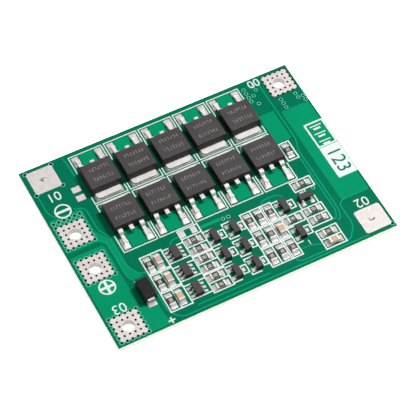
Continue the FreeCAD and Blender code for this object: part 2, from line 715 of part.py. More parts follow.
CAPACITORS = [(FILTER_X, bank_row(k), True) for k in range(CIRCUITS)] + [
    (f"({ARRAY_X} + 2 * {CHIP_PITCH})", bank_row(1), True),
    (RIGHT_COLUMN_X, f"({bank_row(2)} - {CHIP_PITCH})", False),
]
EMPTY_PLACES = [(STACK_X, STACK_TOP_Y, False)]

# Each small transistor: centre and turn
SMALL_TRANSISTORS = (
    [(FIRST_TRANSISTOR_X, bank_row(k), -90) for k in range(CIRCUITS)]
    + [(SECOND_TRANSISTOR_X, bank_row(k), -90) for k in range(CIRCUITS)]
    + [
        (DRIVER_X, bank_row(0), -90),
        (DRIVER_X, f"({BANK_TOP_Y} - 2 * {DRIVER_STEP})", -90),
        (RIGHT_COLUMN_X, bank_row(0), 0),
    ]
)


def build_chips(kind, places, height):
    ceramics = []
    caps = []
    core = "(chip_length - 2 * cap_length)"
    thickness = f"({height} - 2 * cap_wall)"
    for order, (x, y, upright) in enumerate(places, start=1):
        ceramics.append(
            oriented(
                f"{kind}_ceramic_{order}", x, y, f"{LAND_TOP} + cap_wall", core,
                "(chip_width - 2 * cap_wall)", thickness, upright,
            )
        )
        for side, sign in (("a", "-1"), ("b", "1")):
            cap_x, cap_y = shifted(x, y, f"{sign} * (chip_length - cap_length) / 2", upright)
            caps.append(
                oriented(
                    f"{kind}_cap_{order}{side}", cap_x, cap_y, LAND_TOP, "cap_length",
                    "chip_width", height, upright,
                )
            )
    return [group(kind + "_bodies", ceramics), group(kind + "_end_caps", caps)]


def chip_lands():
    lands = []
    for order, (x, y, upright) in enumerate(RESISTORS + CAPACITORS + EMPTY_PLACES, start=1):
        for side, sign in (("a", "-1"), ("b", "1")):
            land_x, land_y = shifted(x, y, f"{sign} * chip_land_pitch / 2", upright)
            lands.append(
                oriented(
                    f"chip_land_{order}{side}", land_x, land_y, LAMINATE_TOP, "chip_land_length",
                    "chip_land_width", "land_thickness", upright,
                )
            )
    return lands


def small_lands():
    """Lands of the small transistors and controllers. A row is turned with its package."""
    lands = []
    places = [(x, y, turn, "transistor") for x, y, turn in SMALL_TRANSISTORS]
    places += [(CONTROLLER_X, bank_row(k), -90, "controller") for k in range(CIRCUITS)]
    for order, (x, y, turn, kind) in enumerate(places, start=1):
        reach = f"({kind}_body_width / 2 + small_lead_reach + small_land_margin - small_land_length / 2)"
        pair = [("-1", "-small_lead_pitch"), ("-1", "small_lead_pitch")]
        sites = pair + [("1", "0")] if kind == "transistor" else pair + [
            ("-1", "0"), ("1", "-small_lead_pitch"), ("1", "0"), ("1", "small_lead_pitch"),
        ]
        for number, (sign, along) in enumerate(sites, start=1):
            sideways = turn == -90
            out = f"{sign} * {reach}"
            land_x = f"{x} + {out}" if sideways else f"{x} + {along}"
            land_y = f"{y} + {along}" if sideways else f"{y} + {out}"
            lands.append(
                oriented(
                    f"small_land_{order}_{number}", land_x, land_y, LAMINATE_TOP,
                    f"{kind}_land_width", "small_land_length", "land_thickness", sideways,
                )
            )
    return lands


def power_lands():
    lands = []
    for row, sign, x_text, y_text, _ in power_places():
        drain_length = "(drain_land_reach + drain_land_inside)"
        drain_y = f"{y_text} + {sign} * (moulding_length / 2 + drain_land_reach - {drain_length} / 2)"
        lands.append(
            block(
                f"drain_land_{row}", x_text, drain_y, LAMINATE_TOP,
                f"({TAB_WIDTH} + 2 * drain_land_margin)",
                drain_length, "land_thickness",
            )
        )
        lead_y = f"{y_text} - {sign} * ({LEAD_LAND_REACH} - power_lead_land_length / 2)"
        for side in ("-1", "1"):
            lands.append(
                block(
                    f"lead_land_{row}_{'a' if side == '1' else 'b'}",
                    f"{x_text} + {side} * power_lead_land_pitch", lead_y, LAMINATE_TOP,
                    "power_lead_land_width", "power_lead_land_length", "land_thickness",
                )
            )
    return lands


def other_lands():
    lands = []
    reach = "(diode_length / 2 + diode_lead_reach + diode_land_margin - diode_land_length / 2)"
    test_x = f"({ROWS_LEFT} - test_land_gap - test_land_length / 2)"
    test_y = f"(transistor_bank_y + {ROW_OFFSET} - test_land_drop)"
    for name, sign in (("cathode", "-1"), ("anode", "1")):
        lands.append(
            block(
                f"diode_{name}_land", DIODE_X, f"{DIODE_Y} + {sign} * {reach}", LAMINATE_TOP,
                "diode_land_width", "diode_land_length", "land_thickness",
            )
        )
    for name, sign in (("upper", "1"), ("lower", "-1")):
        lands.append(
            block(
                f"test_land_{name}", test_x, f"{test_y} + {sign} * test_land_pitch / 2",
                LAMINATE_TOP, "test_land_length", "test_land_width", "land_thickness",
            )
        )
    return lands


def power_places():
    """Row name, side of the tab, centre and turn of each power transistor."""
    places = []
    for row, sign, turn in (("lower", 1, 0), ("upper", -1, 180)):
        for order in range(TRANSISTORS_IN_ROW):
            step = order - (TRANSISTORS_IN_ROW - 1) / 2
            x_text = f"(transistor_bank_x + {step} * {TRANSISTOR_PITCH})"
            y_text = f"(transistor_bank_y - {sign} * {ROW_OFFSET})"
            places.append((f"{row}_{order + 1}", sign, x_text, y_text, turn))
    return places


nodes = [build_wiring_board()]
for terminal, place_x, place_y, place_form in TERMINALS:
    if place_form == "bored":
        nodes.append(build_bored_terminal(terminal, place_x, place_y))
    else:
        nodes.append(build_plain_terminal(terminal, place_x, place_y, place_form))
for place_name, _, place_x, place_y, place_turn in power_places():
    nodes.append(build_power_moulding(f"power_moulding_{place_name}", place_x, place_y, place_turn))
    nodes.append(build_power_leads(f"power_leads_{place_name}", place_x, place_y, place_turn))
for number, (place_x, place_y, place_turn) in enumerate(SMALL_TRANSISTORS, start=1):
    nodes.append(
        build_small_moulding(
            f"small_transistor_body_{number}", place_x, place_y, place_turn, "transistor_body_width"
        )
    )
    nodes.append(
        build_transistor_leads(f"small_transistor_leads_{number}", place_x, place_y, place_turn)
    )
for number in range(CIRCUITS):
    nodes.append(
        build_small_moulding(
            f"controller_body_{number + 1}", CONTROLLER_X, bank_row(number), -90,
            "controller_body_width",
        )
    )
    nodes.append(
        build_controller_leads(
            f"controller_leads_{number + 1}", CONTROLLER_X, bank_row(number), -90
        )
    )
nodes += build_diode()
nodes += build_chips("chip_resistor", RESISTORS, "resistor_height")
nodes += build_chips("chip_capacitor", CAPACITORS, "capacitor_height")
nodes.append(group("solder_lands", chip_lands() + small_lands() + power_lands() + other_lands()))

DOC.recompute()

for item in DOC.Objects:
    if "Invalid" in item.State or "Error" in item.State:
        raise RuntimeError(f"{item.Label} did not build: {item.State}")
for node in nodes:
    if node.Shape.isNull() or not node.Shape.isValid():
        raise RuntimeError(f"{node.Label} has no valid shape")

os.makedirs("parts", exist_ok=True)
for node in nodes:
    node.Shape.exportStep(f"parts/{node.Label}.step")
    print(f"{node.Label}: {len(node.Shape.Solids)} solids, {node.Shape.Volume:.3f} mm3")
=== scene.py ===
"""Looks of a battery management board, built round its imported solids. Lengths here are in
millimetres and become metres where a mesh is finished. +Z is up, out of the component side."""

import math
import random

import bmesh
import bpy
from mathutils import Matrix, Vector


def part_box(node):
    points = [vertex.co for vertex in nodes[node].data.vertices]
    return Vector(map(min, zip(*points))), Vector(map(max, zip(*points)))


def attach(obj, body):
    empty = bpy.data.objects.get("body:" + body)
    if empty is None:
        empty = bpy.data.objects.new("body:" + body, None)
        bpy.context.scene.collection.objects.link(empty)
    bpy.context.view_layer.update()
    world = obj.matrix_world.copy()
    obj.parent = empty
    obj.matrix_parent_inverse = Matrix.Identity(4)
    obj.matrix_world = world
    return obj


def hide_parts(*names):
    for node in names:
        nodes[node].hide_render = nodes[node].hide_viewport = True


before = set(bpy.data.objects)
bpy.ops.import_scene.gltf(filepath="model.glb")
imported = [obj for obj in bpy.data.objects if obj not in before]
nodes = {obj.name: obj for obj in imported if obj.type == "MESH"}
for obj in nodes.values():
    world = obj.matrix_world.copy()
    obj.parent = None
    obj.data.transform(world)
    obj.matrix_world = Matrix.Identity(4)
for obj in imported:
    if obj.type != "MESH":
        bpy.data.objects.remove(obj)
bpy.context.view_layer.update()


# The printed board. Real ones are glass-fibre laminate, cut to size and coated on both faces
# with green solder mask. The cut edge shows the bare cream laminate, and the walls of the
# drilled holes are painted near-black brown as painted shade inside the holes.


class Shade:
    """A socket of a material's node tree that takes part in Python sums."""

    def __init__(self, tree, socket=None):
        self.tree = tree
        self.socket = socket

    def node(self, kind, settings=None, sockets=None, out=0):
        made = self.tree.nodes.new(kind)
        for key, value in (settings or {}).items():
            if key == "stops":
                ramp = made.color_ramp
                ramp.elements[0].position, ramp.elements[0].color = value[0]
                ramp.elements[1].position, ramp.elements[1].color = value[1]
            else:
                setattr(made, key, value)
        for key, value in (sockets or {}).items():
            self.feed(made.inputs[key], value)
        return Shade(self.tree, made.outputs[out])

    def feed(self, entry, value):
        if isinstance(value, Shade):
            self.tree.links.new(value.socket, entry)
        elif entry.type == "RGBA":
            entry.default_value = (*value, 1.0)
        else:
            entry.default_value = value

    def math(self, operation, *terms):
        return self.node("ShaderNodeMath", {"operation": operation}, dict(enumerate(terms)))

    def __add__(self, other):
        return self.math("ADD", self, other)

    def __sub__(self, other):
        return self.math("SUBTRACT", self, other)

    def __rsub__(self, other):
        return self.math("SUBTRACT", other, self)

    def __mul__(self, other):
        return self.math("MULTIPLY", self, other)

    def __gt__(self, other):
        return self.math("GREATER_THAN", self, other)

    def __lt__(self, other):
        return self.math("LESS_THAN", self, other)

    __radd__ = __add__
    __rmul__ = __mul__

    def size(self):
        return self.math("ABSOLUTE", self)

    def between(self, dark, light):
        """A colour between two colours, by this value."""
        mix = {"data_type": "RGBA", "clamp_factor": True}
        return self.node("ShaderNodeMix", mix, {0: self, 6: dark, 7: light}, out=2)


MM = 0.001


def finish(name, **constants):
    """A material with its constant values, and a Shade to build its patterns from."""
    made = bpy.data.materials.new(name)
    made.use_nodes = True
    shader = made.node_tree.nodes["Principled BSDF"]
    for key, value in constants.items():
        entry = shader.inputs[key.replace("_", " ").title().replace("Ior", "IOR")]
        entry.default_value = (*value, 1.0) if entry.type == "RGBA" else value
    return made, shader, Shade(made.node_tree)


def place_in_mm(shade):
    """The point on the piece in millimetres, and its X, Y and Z."""
    point = shade.node("ShaderNodeTexCoord", out=3)
    scaled = shade.node("ShaderNodeMapping", sockets={0: point, 3: (1 / MM, 1 / MM, 1 / MM)})
    axes = [shade.node("ShaderNodeSeparateXYZ", sockets={0: scaled}, out=k) for k in range(3)]
    return scaled, axes


def grain(shade, point, scale, detail=2.0, rough=0.5):
    """Noise from 0 to 1 with its scale in features per millimetre."""
    return shade.node(
        "ShaderNodeTexNoise", sockets={"Vector": point, "Scale": scale, "Detail": detail,
                                       "Roughness": rough}
    )


def relief(shade, shader, height, depth, strength=1.0):
    """Bump from a height of 0 to 1 that stands for a depth in millimetres."""
    bump = shade.node(
        "ShaderNodeBump", sockets={"Strength": strength, "Distance": depth * MM, "Height": height}
    )
    shade.feed(shader.inputs["Normal"], bump)


BARE_GREEN = (0.0, 0.165, 0.085)
BARE_GREEN_LIGHT = (0.001, 0.205, 0.104)
COPPER_GREEN = (0.0, 0.300, 0.138)
COPPER_GREEN_LIGHT = (0.002, 0.345, 0.165)
# Painted highlight: tracks are coloured paler than the pours, for light caught along them
TRACK_GREEN_HIGHLIGHT = (0.008, 0.385, 0.215)
LAMINATE_CREAM = (0.88, 0.91, 0.81)
LAMINATE_PLY = (0.77, 0.81, 0.68)
# Painted shade: the near-black brown of the walls inside the drilled holes
VIA_WALL_SHADE = (0.035, 0.028, 0.022)
EDGE_BAND = 0.02
PLY = 0.15


def upward(shade):
    """How far the surface looks up: 1 on a top, 0 on a wall, -1 underneath."""
    normal = shade.node("ShaderNodeNewGeometry", out=1)
    return shade.node("ShaderNodeSeparateXYZ", sockets={0: normal}, out=2)


def masked(name, dark, light):
    """Glossy solder mask over what lies under it. Its colour drifts a little."""
    made, shader, shade = finish(name, Roughness=0.3, Specular_Ior_Level=0.05)
    point, axes = place_in_mm(shade)
    drift = grain(shade, point, 0.12, 3.0)
    speckle = grain(shade, point, 2.2, 2.0)
    tone = (drift * 0.7 + speckle * 0.3 - 0.5) * 1.6 + 0.5
    colour = tone.between(dark, light)
    ripple = grain(shade, point, 1.1, 2.0)
    relief(shade, shader, ripple, 0.012, 0.35)
    shade.feed(shader.inputs["Roughness"], ripple * 0.14 + 0.22)
    return made, shader, shade, axes, colour


board_finish, shader, shade, (across, along, up), mask_colour = masked(
    "green_mask_on_laminate", BARE_GREEN, BARE_GREEN_LIGHT
)
board_low, board_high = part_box("wiring_board")
cut_edge = (across.size() > board_high.x / MM - EDGE_BAND) + (
    along.size() > board_high.y / MM - EDGE_BAND
)
plies = shade.node("ShaderNodeMath", {"operation": "SINE"}, {0: up * (2 * math.pi / PLY)})
laminate = (plies * 0.5 + 0.5).between(LAMINATE_CREAM, LAMINATE_PLY)
# Walls other than the cut edge are hole walls, painted dark as painted shade
wall = (cut_edge > 0.5).between(VIA_WALL_SHADE, laminate)
coated = upward(shade).size() > 0.5
shade.feed(shader.inputs["Base Color"], coated.between(wall, mask_colour))


def dress(name, material):
    """The node's own solid, in a new finish."""
    mesh = nodes[name].data
    mesh.materials.clear()
    mesh.materials.append(material)


dress("wiring_board", board_finish)


# Copper under the mask: tracks and pours etched from the foil before the coat goes on, so they
# show as paler green plates with soft edges. They stand about as high as the foil is thick.

MASK_TOP = board_high.z / MM
COPPER_RISE = 0.035
COPPER_EDGE = 0.012

copper_finish, shader, shade, _, mask_colour = masked(
    "green_mask_on_copper", COPPER_GREEN, COPPER_GREEN_LIGHT
)
shade.feed(shader.inputs["Base Color"], mask_colour)
# The tracks' paler green is a painted highlight
track_highlight_finish, shader, shade, _, mask_colour = masked(
    "green_mask_on_track_with_painted_highlight", COPPER_GREEN_LIGHT, TRACK_GREEN_HIGHLIGHT
)
shade.feed(shader.inputs["Base Color"], mask_colour)


# A corner's curve takes less than half of each side that meets there
CORNER_STEPS = 5
CORNER_SHARE = 0.48


def rounded(points, radius, closed=True):
    """The outline with each corner turned into a curve that starts a radius before it."""
    count = len(points)
    made = []
    for k, corner in enumerate(points):
        here = Vector(corner)
        if not closed and k in (0, count - 1):
            made.append(tuple(here))
            continue
        before = Vector(points[k - 1]) - here
        after = Vector(points[(k + 1) % count]) - here
        reach = min(radius, before.length * CORNER_SHARE, after.length * CORNER_SHARE)
        start = here + before.normalized() * reach
        end = here + after.normalized() * reach
        for step in range(CORNER_STEPS + 1):
            t = step / CORNER_STEPS
            made.append(tuple(start * (1 - t) ** 2 + here * 2 * t * (1 - t) + end * t * t))
    return made


def ribbon(points, width, bend=1.2):
    """The outline of a track of one width along a route."""
    route = [Vector(p) for p in rounded(points, bend, closed=False)]
    left = []
    right = []
    for k, here in enumerate(route):
        heading = (route[min(k + 1, len(route) - 1)] - route[max(k - 1, 0)]).normalized()
        side = Vector((-heading.y, heading.x)) * width / 2
        left.append(tuple(here + side))
        right.append(tuple(here - side))
    return left + right[::-1]


def disc(x, y, radius, sides):
    angles = [2 * math.pi * k / sides for k in range(sides)]
    return [(x + radius * math.cos(angle), y + radius * math.sin(angle)) for angle in angles]


def box_outline(x0, y0, x1, y1):
    return [(x0, y0), (x1, y0), (x1, y1), (x0, y1)]


def filled(name, outlines, base, rise, edge=0.0):
    """A mesh in millimetres: plates between nested outlines, with softened edges."""
    curve = bpy.data.curves.new(name, "CURVE")
    curve.dimensions = "2D"
    curve.fill_mode = "BOTH"
    curve.extrude = rise / 2 - edge
    curve.bevel_depth = edge
    curve.bevel_resolution = 1
    curve.offset = -edge
    for points in outlines:
        spline = curve.splines.new("POLY")
        spline.points.add(len(points) - 1)
        spline.points.foreach_set("co", [c for x, y in points for c in (x, y, 0.0, 1.0)])
        spline.use_cyclic_u = True
    shape = bpy.data.objects.new(name, curve)
    mesh = bpy.data.meshes.new_from_object(shape)
    mesh.transform(Matrix.Translation((0, 0, base + rise / 2)))
    bpy.data.objects.remove(shape)
    return mesh


def ride_along(name, mesh, material):
    """A piece that is fixed to the board and moves with it."""
    mesh.materials.append(material)
    piece = bpy.data.objects.new(name, mesh)
    bpy.context.scene.collection.objects.link(piece)
    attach(piece, "root")
    return piece


def settle(name, meshes, material):
    """One piece of the board from meshes in millimetres."""
    joined = bmesh.new()
    for mesh in meshes:
        joined.from_mesh(mesh)
        bpy.data.meshes.remove(mesh)
    bmesh.ops.remove_doubles(joined, verts=joined.verts, dist=1e-5)
    bmesh.ops.scale(joined, vec=(MM, MM, MM), verts=joined.verts)
    bmesh.ops.recalc_face_normals(joined, faces=joined.faces)
    mesh = bpy.data.meshes.new(name)
    joined.to_mesh(mesh)
    joined.free()
    return ride_along(name, mesh, material)


TERMINALS = ["first_tap", "output_minus", "output_plus", "pack_plus", "pack_minus", "second_tap"]
centre = {}
for terminal in TERMINALS:
    low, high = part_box("terminal_" + terminal)
    centre[terminal] = Vector(((low.x + high.x) / 2 / MM, (low.y + high.y) / 2 / MM))
low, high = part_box("terminal_pack_plus")
TERMINAL_HALF = (high.x - low.x) / 2 / MM
GRID_VIAS = 6
VIA_PITCH = TERMINAL_HALF * 2 / (GRID_VIAS - 1)
VIA_RADIUS = 0.21
VIA_SIDES = 6
BAY_STEPS = 6

# Vias stitched beside the pack minus terminal: column and row in pitches from its upper left
# corner, and how many stand in a column
STITCHES = [(-4, 1, 4), (-3, 3, 1), (-3, 5, 1), (-2, 1, 2), (1, 6, 3), (4, 6, 2), (5, 7, 2)]
corner = centre["pack_minus"] + Vector((-TERMINAL_HALF, TERMINAL_HALF))
stitch_vias = [
    (corner.x + column * VIA_PITCH, corner.y - (row + k) * VIA_PITCH)
    for column, row, count in STITCHES
    for k in range(count)
]
# One more row of them, above the grid of the output minus terminal
minus_row = [
    (centre["output_minus"].x - TERMINAL_HALF + k * VIA_PITCH,
     centre["output_minus"].y + TERMINAL_HALF + VIA_PITCH)
    for k in range(GRID_VIAS)
]


def land_opening(terminal):
    """The square of a terminal with a bay round each via on its edge."""
    made = []
    for side in range(4):
        turn = math.pi / 2 * side
        heading = Vector((math.cos(turn), math.sin(turn)))
        start = centre[terminal] - TERMINAL_HALF * (heading + Vector((-heading.y, heading.x)))
        for k in range(1, GRID_VIAS):
            spot = start + heading * VIA_PITCH * k
            sweep = math.pi if k < GRID_VIAS - 1 else 1.5 * math.pi
            for step in range(BAY_STEPS + 1):
                angle = turn + math.pi + sweep * step / BAY_STEPS
                made.append((
                    spot.x + VIA_RADIUS * math.cos(angle), spot.y + VIA_RADIUS * math.sin(angle)
                ))
    return made


def grid_ring(terminal, inward=0):
    """Places of the vias in one square ring of a terminal's grid, by its steps from the edge."""
    middle = centre[terminal]
    reach = TERMINAL_HALF - inward * VIA_PITCH
    offsets = [-reach + k * VIA_PITCH for k in range(GRID_VIAS - 2 * inward)]
    return [
        (middle.x + dx, middle.y + dy) for dx in offsets for dy in offsets
        if max(abs(dx), abs(dy)) > reach - VIA_RADIUS
    ]


def via_hole(x, y):
    return disc(x, y, VIA_RADIUS, VIA_SIDES)


# Pours end short of the board's edge, by the rim that the cutter needs
RIM = 0.42
left_edge = board_low.x / MM + RIM
right_edge = board_high.x / MM - RIM
lower_edge = board_low.y / MM + RIM

pours = [
    # round the output plus and pack plus terminals
    rounded([
        (left_edge, -0.3), (-22.7, -0.3), (-22.4, -1.0), (-22.4, -16.4), (-19.2, -16.4),
        (-19.0, -20.7), (-17.9, lower_edge), (left_edge, lower_edge),
    ], 0.5),
    # round the output minus terminal
    rounded([
        (left_edge, 0.75), (-23.0, 0.75), (-22.0, -0.3), (-21.6, -8.6), (-20.9, -10.2),
        (-18.6, -10.2), (-20.4, -7.6), (-20.8, 0.6), (-21.9, 2.2), (-22.6, 3.2), (-22.6, 9.4),
        (left_edge, 9.4),
    ], 0.6),
    # right edge, beside the rating block
    rounded([(23.35, -12.2), (right_edge, -12.2), (right_edge, 12.1), (23.35, 12.1)], 0.4),
    # beside the right end of the rows
    rounded([(18.75, 5.5), (22.1, 5.5), (22.1, 13.1), (18.75, 13.1)], 0.3),
]
ROW_CENTRES = []
for k in range(1, 6):
    low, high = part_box(f"power_moulding_lower_{k}")
    ROW_CENTRES.append((low.x + high.x) / 2 / MM)
# A patch of each transistor's own copper shows between its two outer leads
PATCH_HALF = 1.5
PATCH_CORNER = 0.25
PATCH_LEVELS = ((-3.45, 0.9), (16.7, 21.1))
for x in ROW_CENTRES:
    for base, top in PATCH_LEVELS:
        patch = box_outline(x - PATCH_HALF, base, x + PATCH_HALF, top)
        pours.append(rounded(patch, PATCH_CORNER))

# The vias of the left terminals tie the pours there to like ones on the back, whose openings
# are smaller, so each outer via has its own mouth in the copper
MASK_BOTTOM = board_low.z / MM
POURED = ("output_minus", "output_plus", "pack_plus")
BACK_OPENING = Vector((1, 1)) * (TERMINAL_HALF - 0.35)
back_pours = pours[:3]
for terminal in POURED:
    pours.append(land_opening(terminal))
    low = centre[terminal] - BACK_OPENING
    high = centre[terminal] + BACK_OPENING
    back_pours.append(box_outline(low.x, low.y, high.x, high.y))
    back_pours += [via_hole(x, y) for x, y in grid_ring(terminal)]
back_pours += [via_hole(x, y) for x, y in minus_row]
pours += [via_hole(x, y) for x, y in minus_row]
pour_meshes = [
    filled("copper_pours", pours, MASK_TOP, COPPER_RISE, COPPER_EDGE),
    filled("copper_pours", back_pours, MASK_BOTTOM - COPPER_RISE, COPPER_RISE, COPPER_EDGE),
]
settle("copper_pours", pour_meshes, copper_finish)

# Tracks, each along a route of corners that are then rounded
TRACK_WIDTH = 0.30
TRACK_RISE = 0.045
WIDE_WIDTH = 0.7
WIDE_ROUTE = [(-4.0, -5.4), (0.2, -5.4)]
ROUTES = [
    [(-24.0, 9.9), (-22.4, 9.3), (-21.85, 8.5), (-21.85, 3.0), (-20.6, 1.0), (-20.6, -7.0),
     (-19.3, -9.4), (-17.9, -9.7)],
    [(-23.0, 1.0), (-21.7, 0.1), (-21.7, -9.0), (-20.9, -10.4)],
    [(-20.8, 21.9), (-20.5, 20.6), (-20.4, 15.3)],
    [(-28.9, 15.5), (-28.9, 11.2), (-28.2, 9.9), (-27.2, 9.4)],
    [(22.7, 21.4), (22.7, 4.6), (21.8, 2.4), (21.8, -14.0), (21.2, -15.8), (20.3, -16.2)],
    [(21.15, 1.4), (21.15, -13.6), (20.6, -15.3), (19.75, -15.6)],
    [(29.4, -12.3), (23.4, -12.3), (22.5, -13.2), (22.5, -18.4), (20.4, -21.2), (9.6, -21.2),
     (8.7, -20.4)],
    [(-18.25, -15.2), (-18.25, -19.7), (-16.3, -21.8), (24.0, -21.9)],
    [(-12.6, -20.75), (3.0, -20.75)],
    [(-11.2, -6.35), (-10.5, -5.5), (-8.75, -5.4)],
    [(8.7, -6.1), (9.7, -5.35), (12.6, -5.35), (13.6, -6.3)],
    [(10.9, -18.7), (13.4, -18.9), (15.0, -19.6)],
]
tracks = [ribbon(route, TRACK_WIDTH) for route in ROUTES]
tracks.append(ribbon(WIDE_ROUTE, WIDE_WIDTH))
track_mesh = filled("copper_tracks", tracks, MASK_TOP, TRACK_RISE, COPPER_EDGE)
settle("copper_tracks", [track_mesh], track_highlight_finish)


# Solder terminals. Square lands etched in the foil and levelled with hot solder, so their
# surface is a little uneven. Rows of plated vias tie the front land to the back one.

TIN_LIGHT = (0.86, 0.81, 0.78)
TIN_DARK = (0.72, 0.665, 0.635)
# Darker colour of walls and slopes: dull cut lead edges, and painted shade on the rest
TIN_SIDE_DULL_AND_SHADE = (0.46, 0.44, 0.42)
SIDE_METALLIC = 0.8
SLOPE_GAIN = 1.7


def tinned(name, light, dark, lump, rough=0.42, metallic=0.2):
    """Solder that has set: pale metal, cloudy, with a soft uneven surface. Its sides are
    smoother and mirror the board. Their colour is darker: partly the dull untinned cut edges of
    leads, partly painted shade on the walls and slopes of lands and solder."""
    made, shader, shade = finish(name, Metallic=metallic, Roughness=rough)
    point, _ = place_in_mm(shade)
    level = upward(shade).size()
    shade.feed(shader.inputs["Metallic"], SIDE_METALLIC - level * (SIDE_METALLIC - metallic))
    cloud = grain(shade, point, 0.9, 4.0, 0.6)
    colour = ((cloud - 0.5) * 2.2 + 0.5).between(dark, light)
    # Walls and slopes take the darker colour: dull cut edges, and painted shade
    shade.feed(shader.inputs["Base Color"], (level * SLOPE_GAIN).between(TIN_SIDE_DULL_AND_SHADE, colour))
    shade.feed(shader.inputs["Roughness"], cloud * 0.25 + (rough - 0.1))
    waves = grain(shade, point, 1.6, 3.0)
    relief(shade, shader, waves, lump, 0.8)
    return made


terminal_finish = tinned("levelled_solder", TIN_LIGHT, TIN_DARK, 0.05)
for terminal in TERMINALS:
    dress("terminal_" + terminal, terminal_finish)

# The rings of the vias show through the mask as pale circles: whole where the mask lies on bare
# laminate, and as a thin outline where it lies on a pour or beside a plain land
SIGNAL_VIAS = [(0.79, -5.6), (1.91, -5.6), (19.9, -7.2)]
RING_GREEN = (0.100, 0.560, 0.400)
RING_GREEN_LIGHT = (0.250, 0.740, 0.570)
RING_OUTER = 0.42
RING_INNER = 0.26
OUTLINE_OUTER = 0.50
OUTLINE_INNER = 0.37
RING_RISE = 0.045
RING_EDGE = 0.01
RING_SIDES = 20

ring_finish, shader, shade, _, mask_colour = masked(
    "green_mask_on_rings", RING_GREEN, RING_GREEN_LIGHT
)
shade.feed(shader.inputs["Base Color"], mask_colour)

free_vias = stitch_vias + SIGNAL_VIAS
poured_vias = list(minus_row)
for terminal in POURED:
    poured_vias += grid_ring(terminal)
first = centre["first_tap"]
for side_x in (-1, 1):
    for side_y in (-1, 1):
        poured_vias.append((first.x + side_x * TERMINAL_HALF, first.y + side_y * TERMINAL_HALF))
second = centre["second_tap"]
poured_vias.append((second.x + TERMINAL_HALF, second.y - TERMINAL_HALF))


def rings(places, outer, inner):
    return [
        filled(
            "ring", [disc(x, y, outer, RING_SIDES), disc(x, y, inner, RING_SIDES)], base,
            RING_RISE, RING_EDGE,
        )
        for x, y, base in places
    ]


RING_BACK = MASK_BOTTOM - RING_RISE
outline_places = [(x, y, base) for x, y in poured_vias for base in (MASK_TOP, RING_BACK)]
outline_meshes = rings(outline_places, OUTLINE_OUTER, OUTLINE_INNER)
settle("covered_via_rings", outline_meshes, ring_finish)
ring_places = [(x, y, MASK_TOP) for x, y in free_vias]
ring_places += [(x, y, RING_BACK) for x, y in free_vias + grid_ring("pack_minus")]
ring_meshes = rings(ring_places, RING_OUTER, RING_INNER)
settle("via_rings", ring_meshes, ring_finish)

# On the front, mask closes the vias at three corners of the pack minus terminal: the lower left,
# upper left and lower right ones
PLUG_RADIUS = 0.30
PLUG_RISE = 0.08
PLUG_EDGE = 0.02
minus_edge = grid_ring("pack_minus")
closed = [minus_edge[0], minus_edge[GRID_VIAS - 1], minus_edge[-GRID_VIAS]]
plug_meshes = [
    filled("plug", [disc(x, y, PLUG_RADIUS, RING_SIDES)], MASK_TOP, PLUG_RISE, PLUG_EDGE)
    for x, y in closed
]
settle("mask_plugs", plug_meshes, board_finish)

# Dark rings round the mouth of each via in a terminal, painted shade that makes each hole look
# darker and wider. The mouths stand a hair above the land on the front
# Dark browns shared by the painted shade at the via mouths and the real probe scratches
SHADE_AND_SCRATCH_BROWN = (0.060, 0.026, 0.020)
SHADE_AND_SCRATCH_BLACK = (0.010, 0.008, 0.008)
EDGE_MOUTH = 0.26
INNER_MOUTH = 0.24
MOUTH_SIDES = 14
MOUTH_RISE = 0.077
BACK_MOUTH_RISE = 0.055

# One finish for the painted shade at the via mouths and for the probe scratches
via_shade_and_scratch_finish, shader, shade = finish("via_shade_and_probe_scratches", Roughness=0.5)
point, _ = place_in_mm(shade)
dark_mottle = grain(shade, point, 1.5, 2.0)
shade.feed(shader.inputs["Base Color"], dark_mottle.between(SHADE_AND_SCRATCH_BLACK, SHADE_AND_SCRATCH_BROWN))
relief(shade, shader, dark_mottle, 0.01, 0.3)

edge_vias = poured_vias + minus_edge
open_vias = [spot for spot in edge_vias if spot not in closed]
inner_vias = [spot for terminal in POURED + ("pack_minus",) for spot in grid_ring(terminal, 1)]
via_shade_and_scratch_meshes = [
    filled("mouth", [disc(x, y, outer, MOUTH_SIDES), via_hole(x, y)], base, rise)
    for base, rise, outer, spots in (
        (MASK_TOP, MOUTH_RISE, EDGE_MOUTH, open_vias),
        (MASK_TOP, MOUTH_RISE, INNER_MOUTH, inner_vias),
        (MASK_BOTTOM - BACK_MOUTH_RISE, BACK_MOUTH_RISE, EDGE_MOUTH, edge_vias),
    )
    for x, y in spots
]

# The last signal via is only a ring and a dark disc, painted shade for a hole, because the board
# has no hole there
LONE_MOUTH = 0.22
x, y = SIGNAL_VIAS[-1]
lone_outline = disc(x, y, LONE_MOUTH, MOUTH_SIDES)
via_shade_and_scratch_meshes.append(filled("mouth", [lone_outline], MASK_TOP, BACK_MOUTH_RISE))

# A test probe has scratched the two plain lands, in strokes of a long oval: the reach of each
# stroke, and where it starts and how far it goes round, in radians
SCRATCH_WIDTH = 0.12
SCRATCH_BASE = MASK_TOP + 0.06
SCRATCH_RISE = 0.016
SCRATCH_STEPS = 8
SCRATCH_BEND = 0.05
OVAL_LONG = 1.3
OVAL_SHORT = 0.7
STROKES = ((0.62, 0.0, 2.6), (0.38, 0.9, 3.4), (0.2, 2.0, 2.2))
for terminal, turn in (("first_tap", 0.3), ("second_tap", 2.2)):
    middle = centre[terminal]
    for reach, start, sweep in STROKES:
        angles = [turn + start + sweep * k / SCRATCH_STEPS for k in range(SCRATCH_STEPS + 1)]
        arc = [
            (middle.x + OVAL_LONG * reach * math.cos(angle),
             middle.y + OVAL_SHORT * reach * math.sin(angle))
            for angle in angles
        ]
        stroke = ribbon(arc, SCRATCH_WIDTH, SCRATCH_BEND)
        via_shade_and_scratch_meshes.append(filled("scratch", [stroke], SCRATCH_BASE, SCRATCH_RISE))
settle("via_mouth_shade_and_probe_scratches", via_shade_and_scratch_meshes, via_shade_and_scratch_finish)


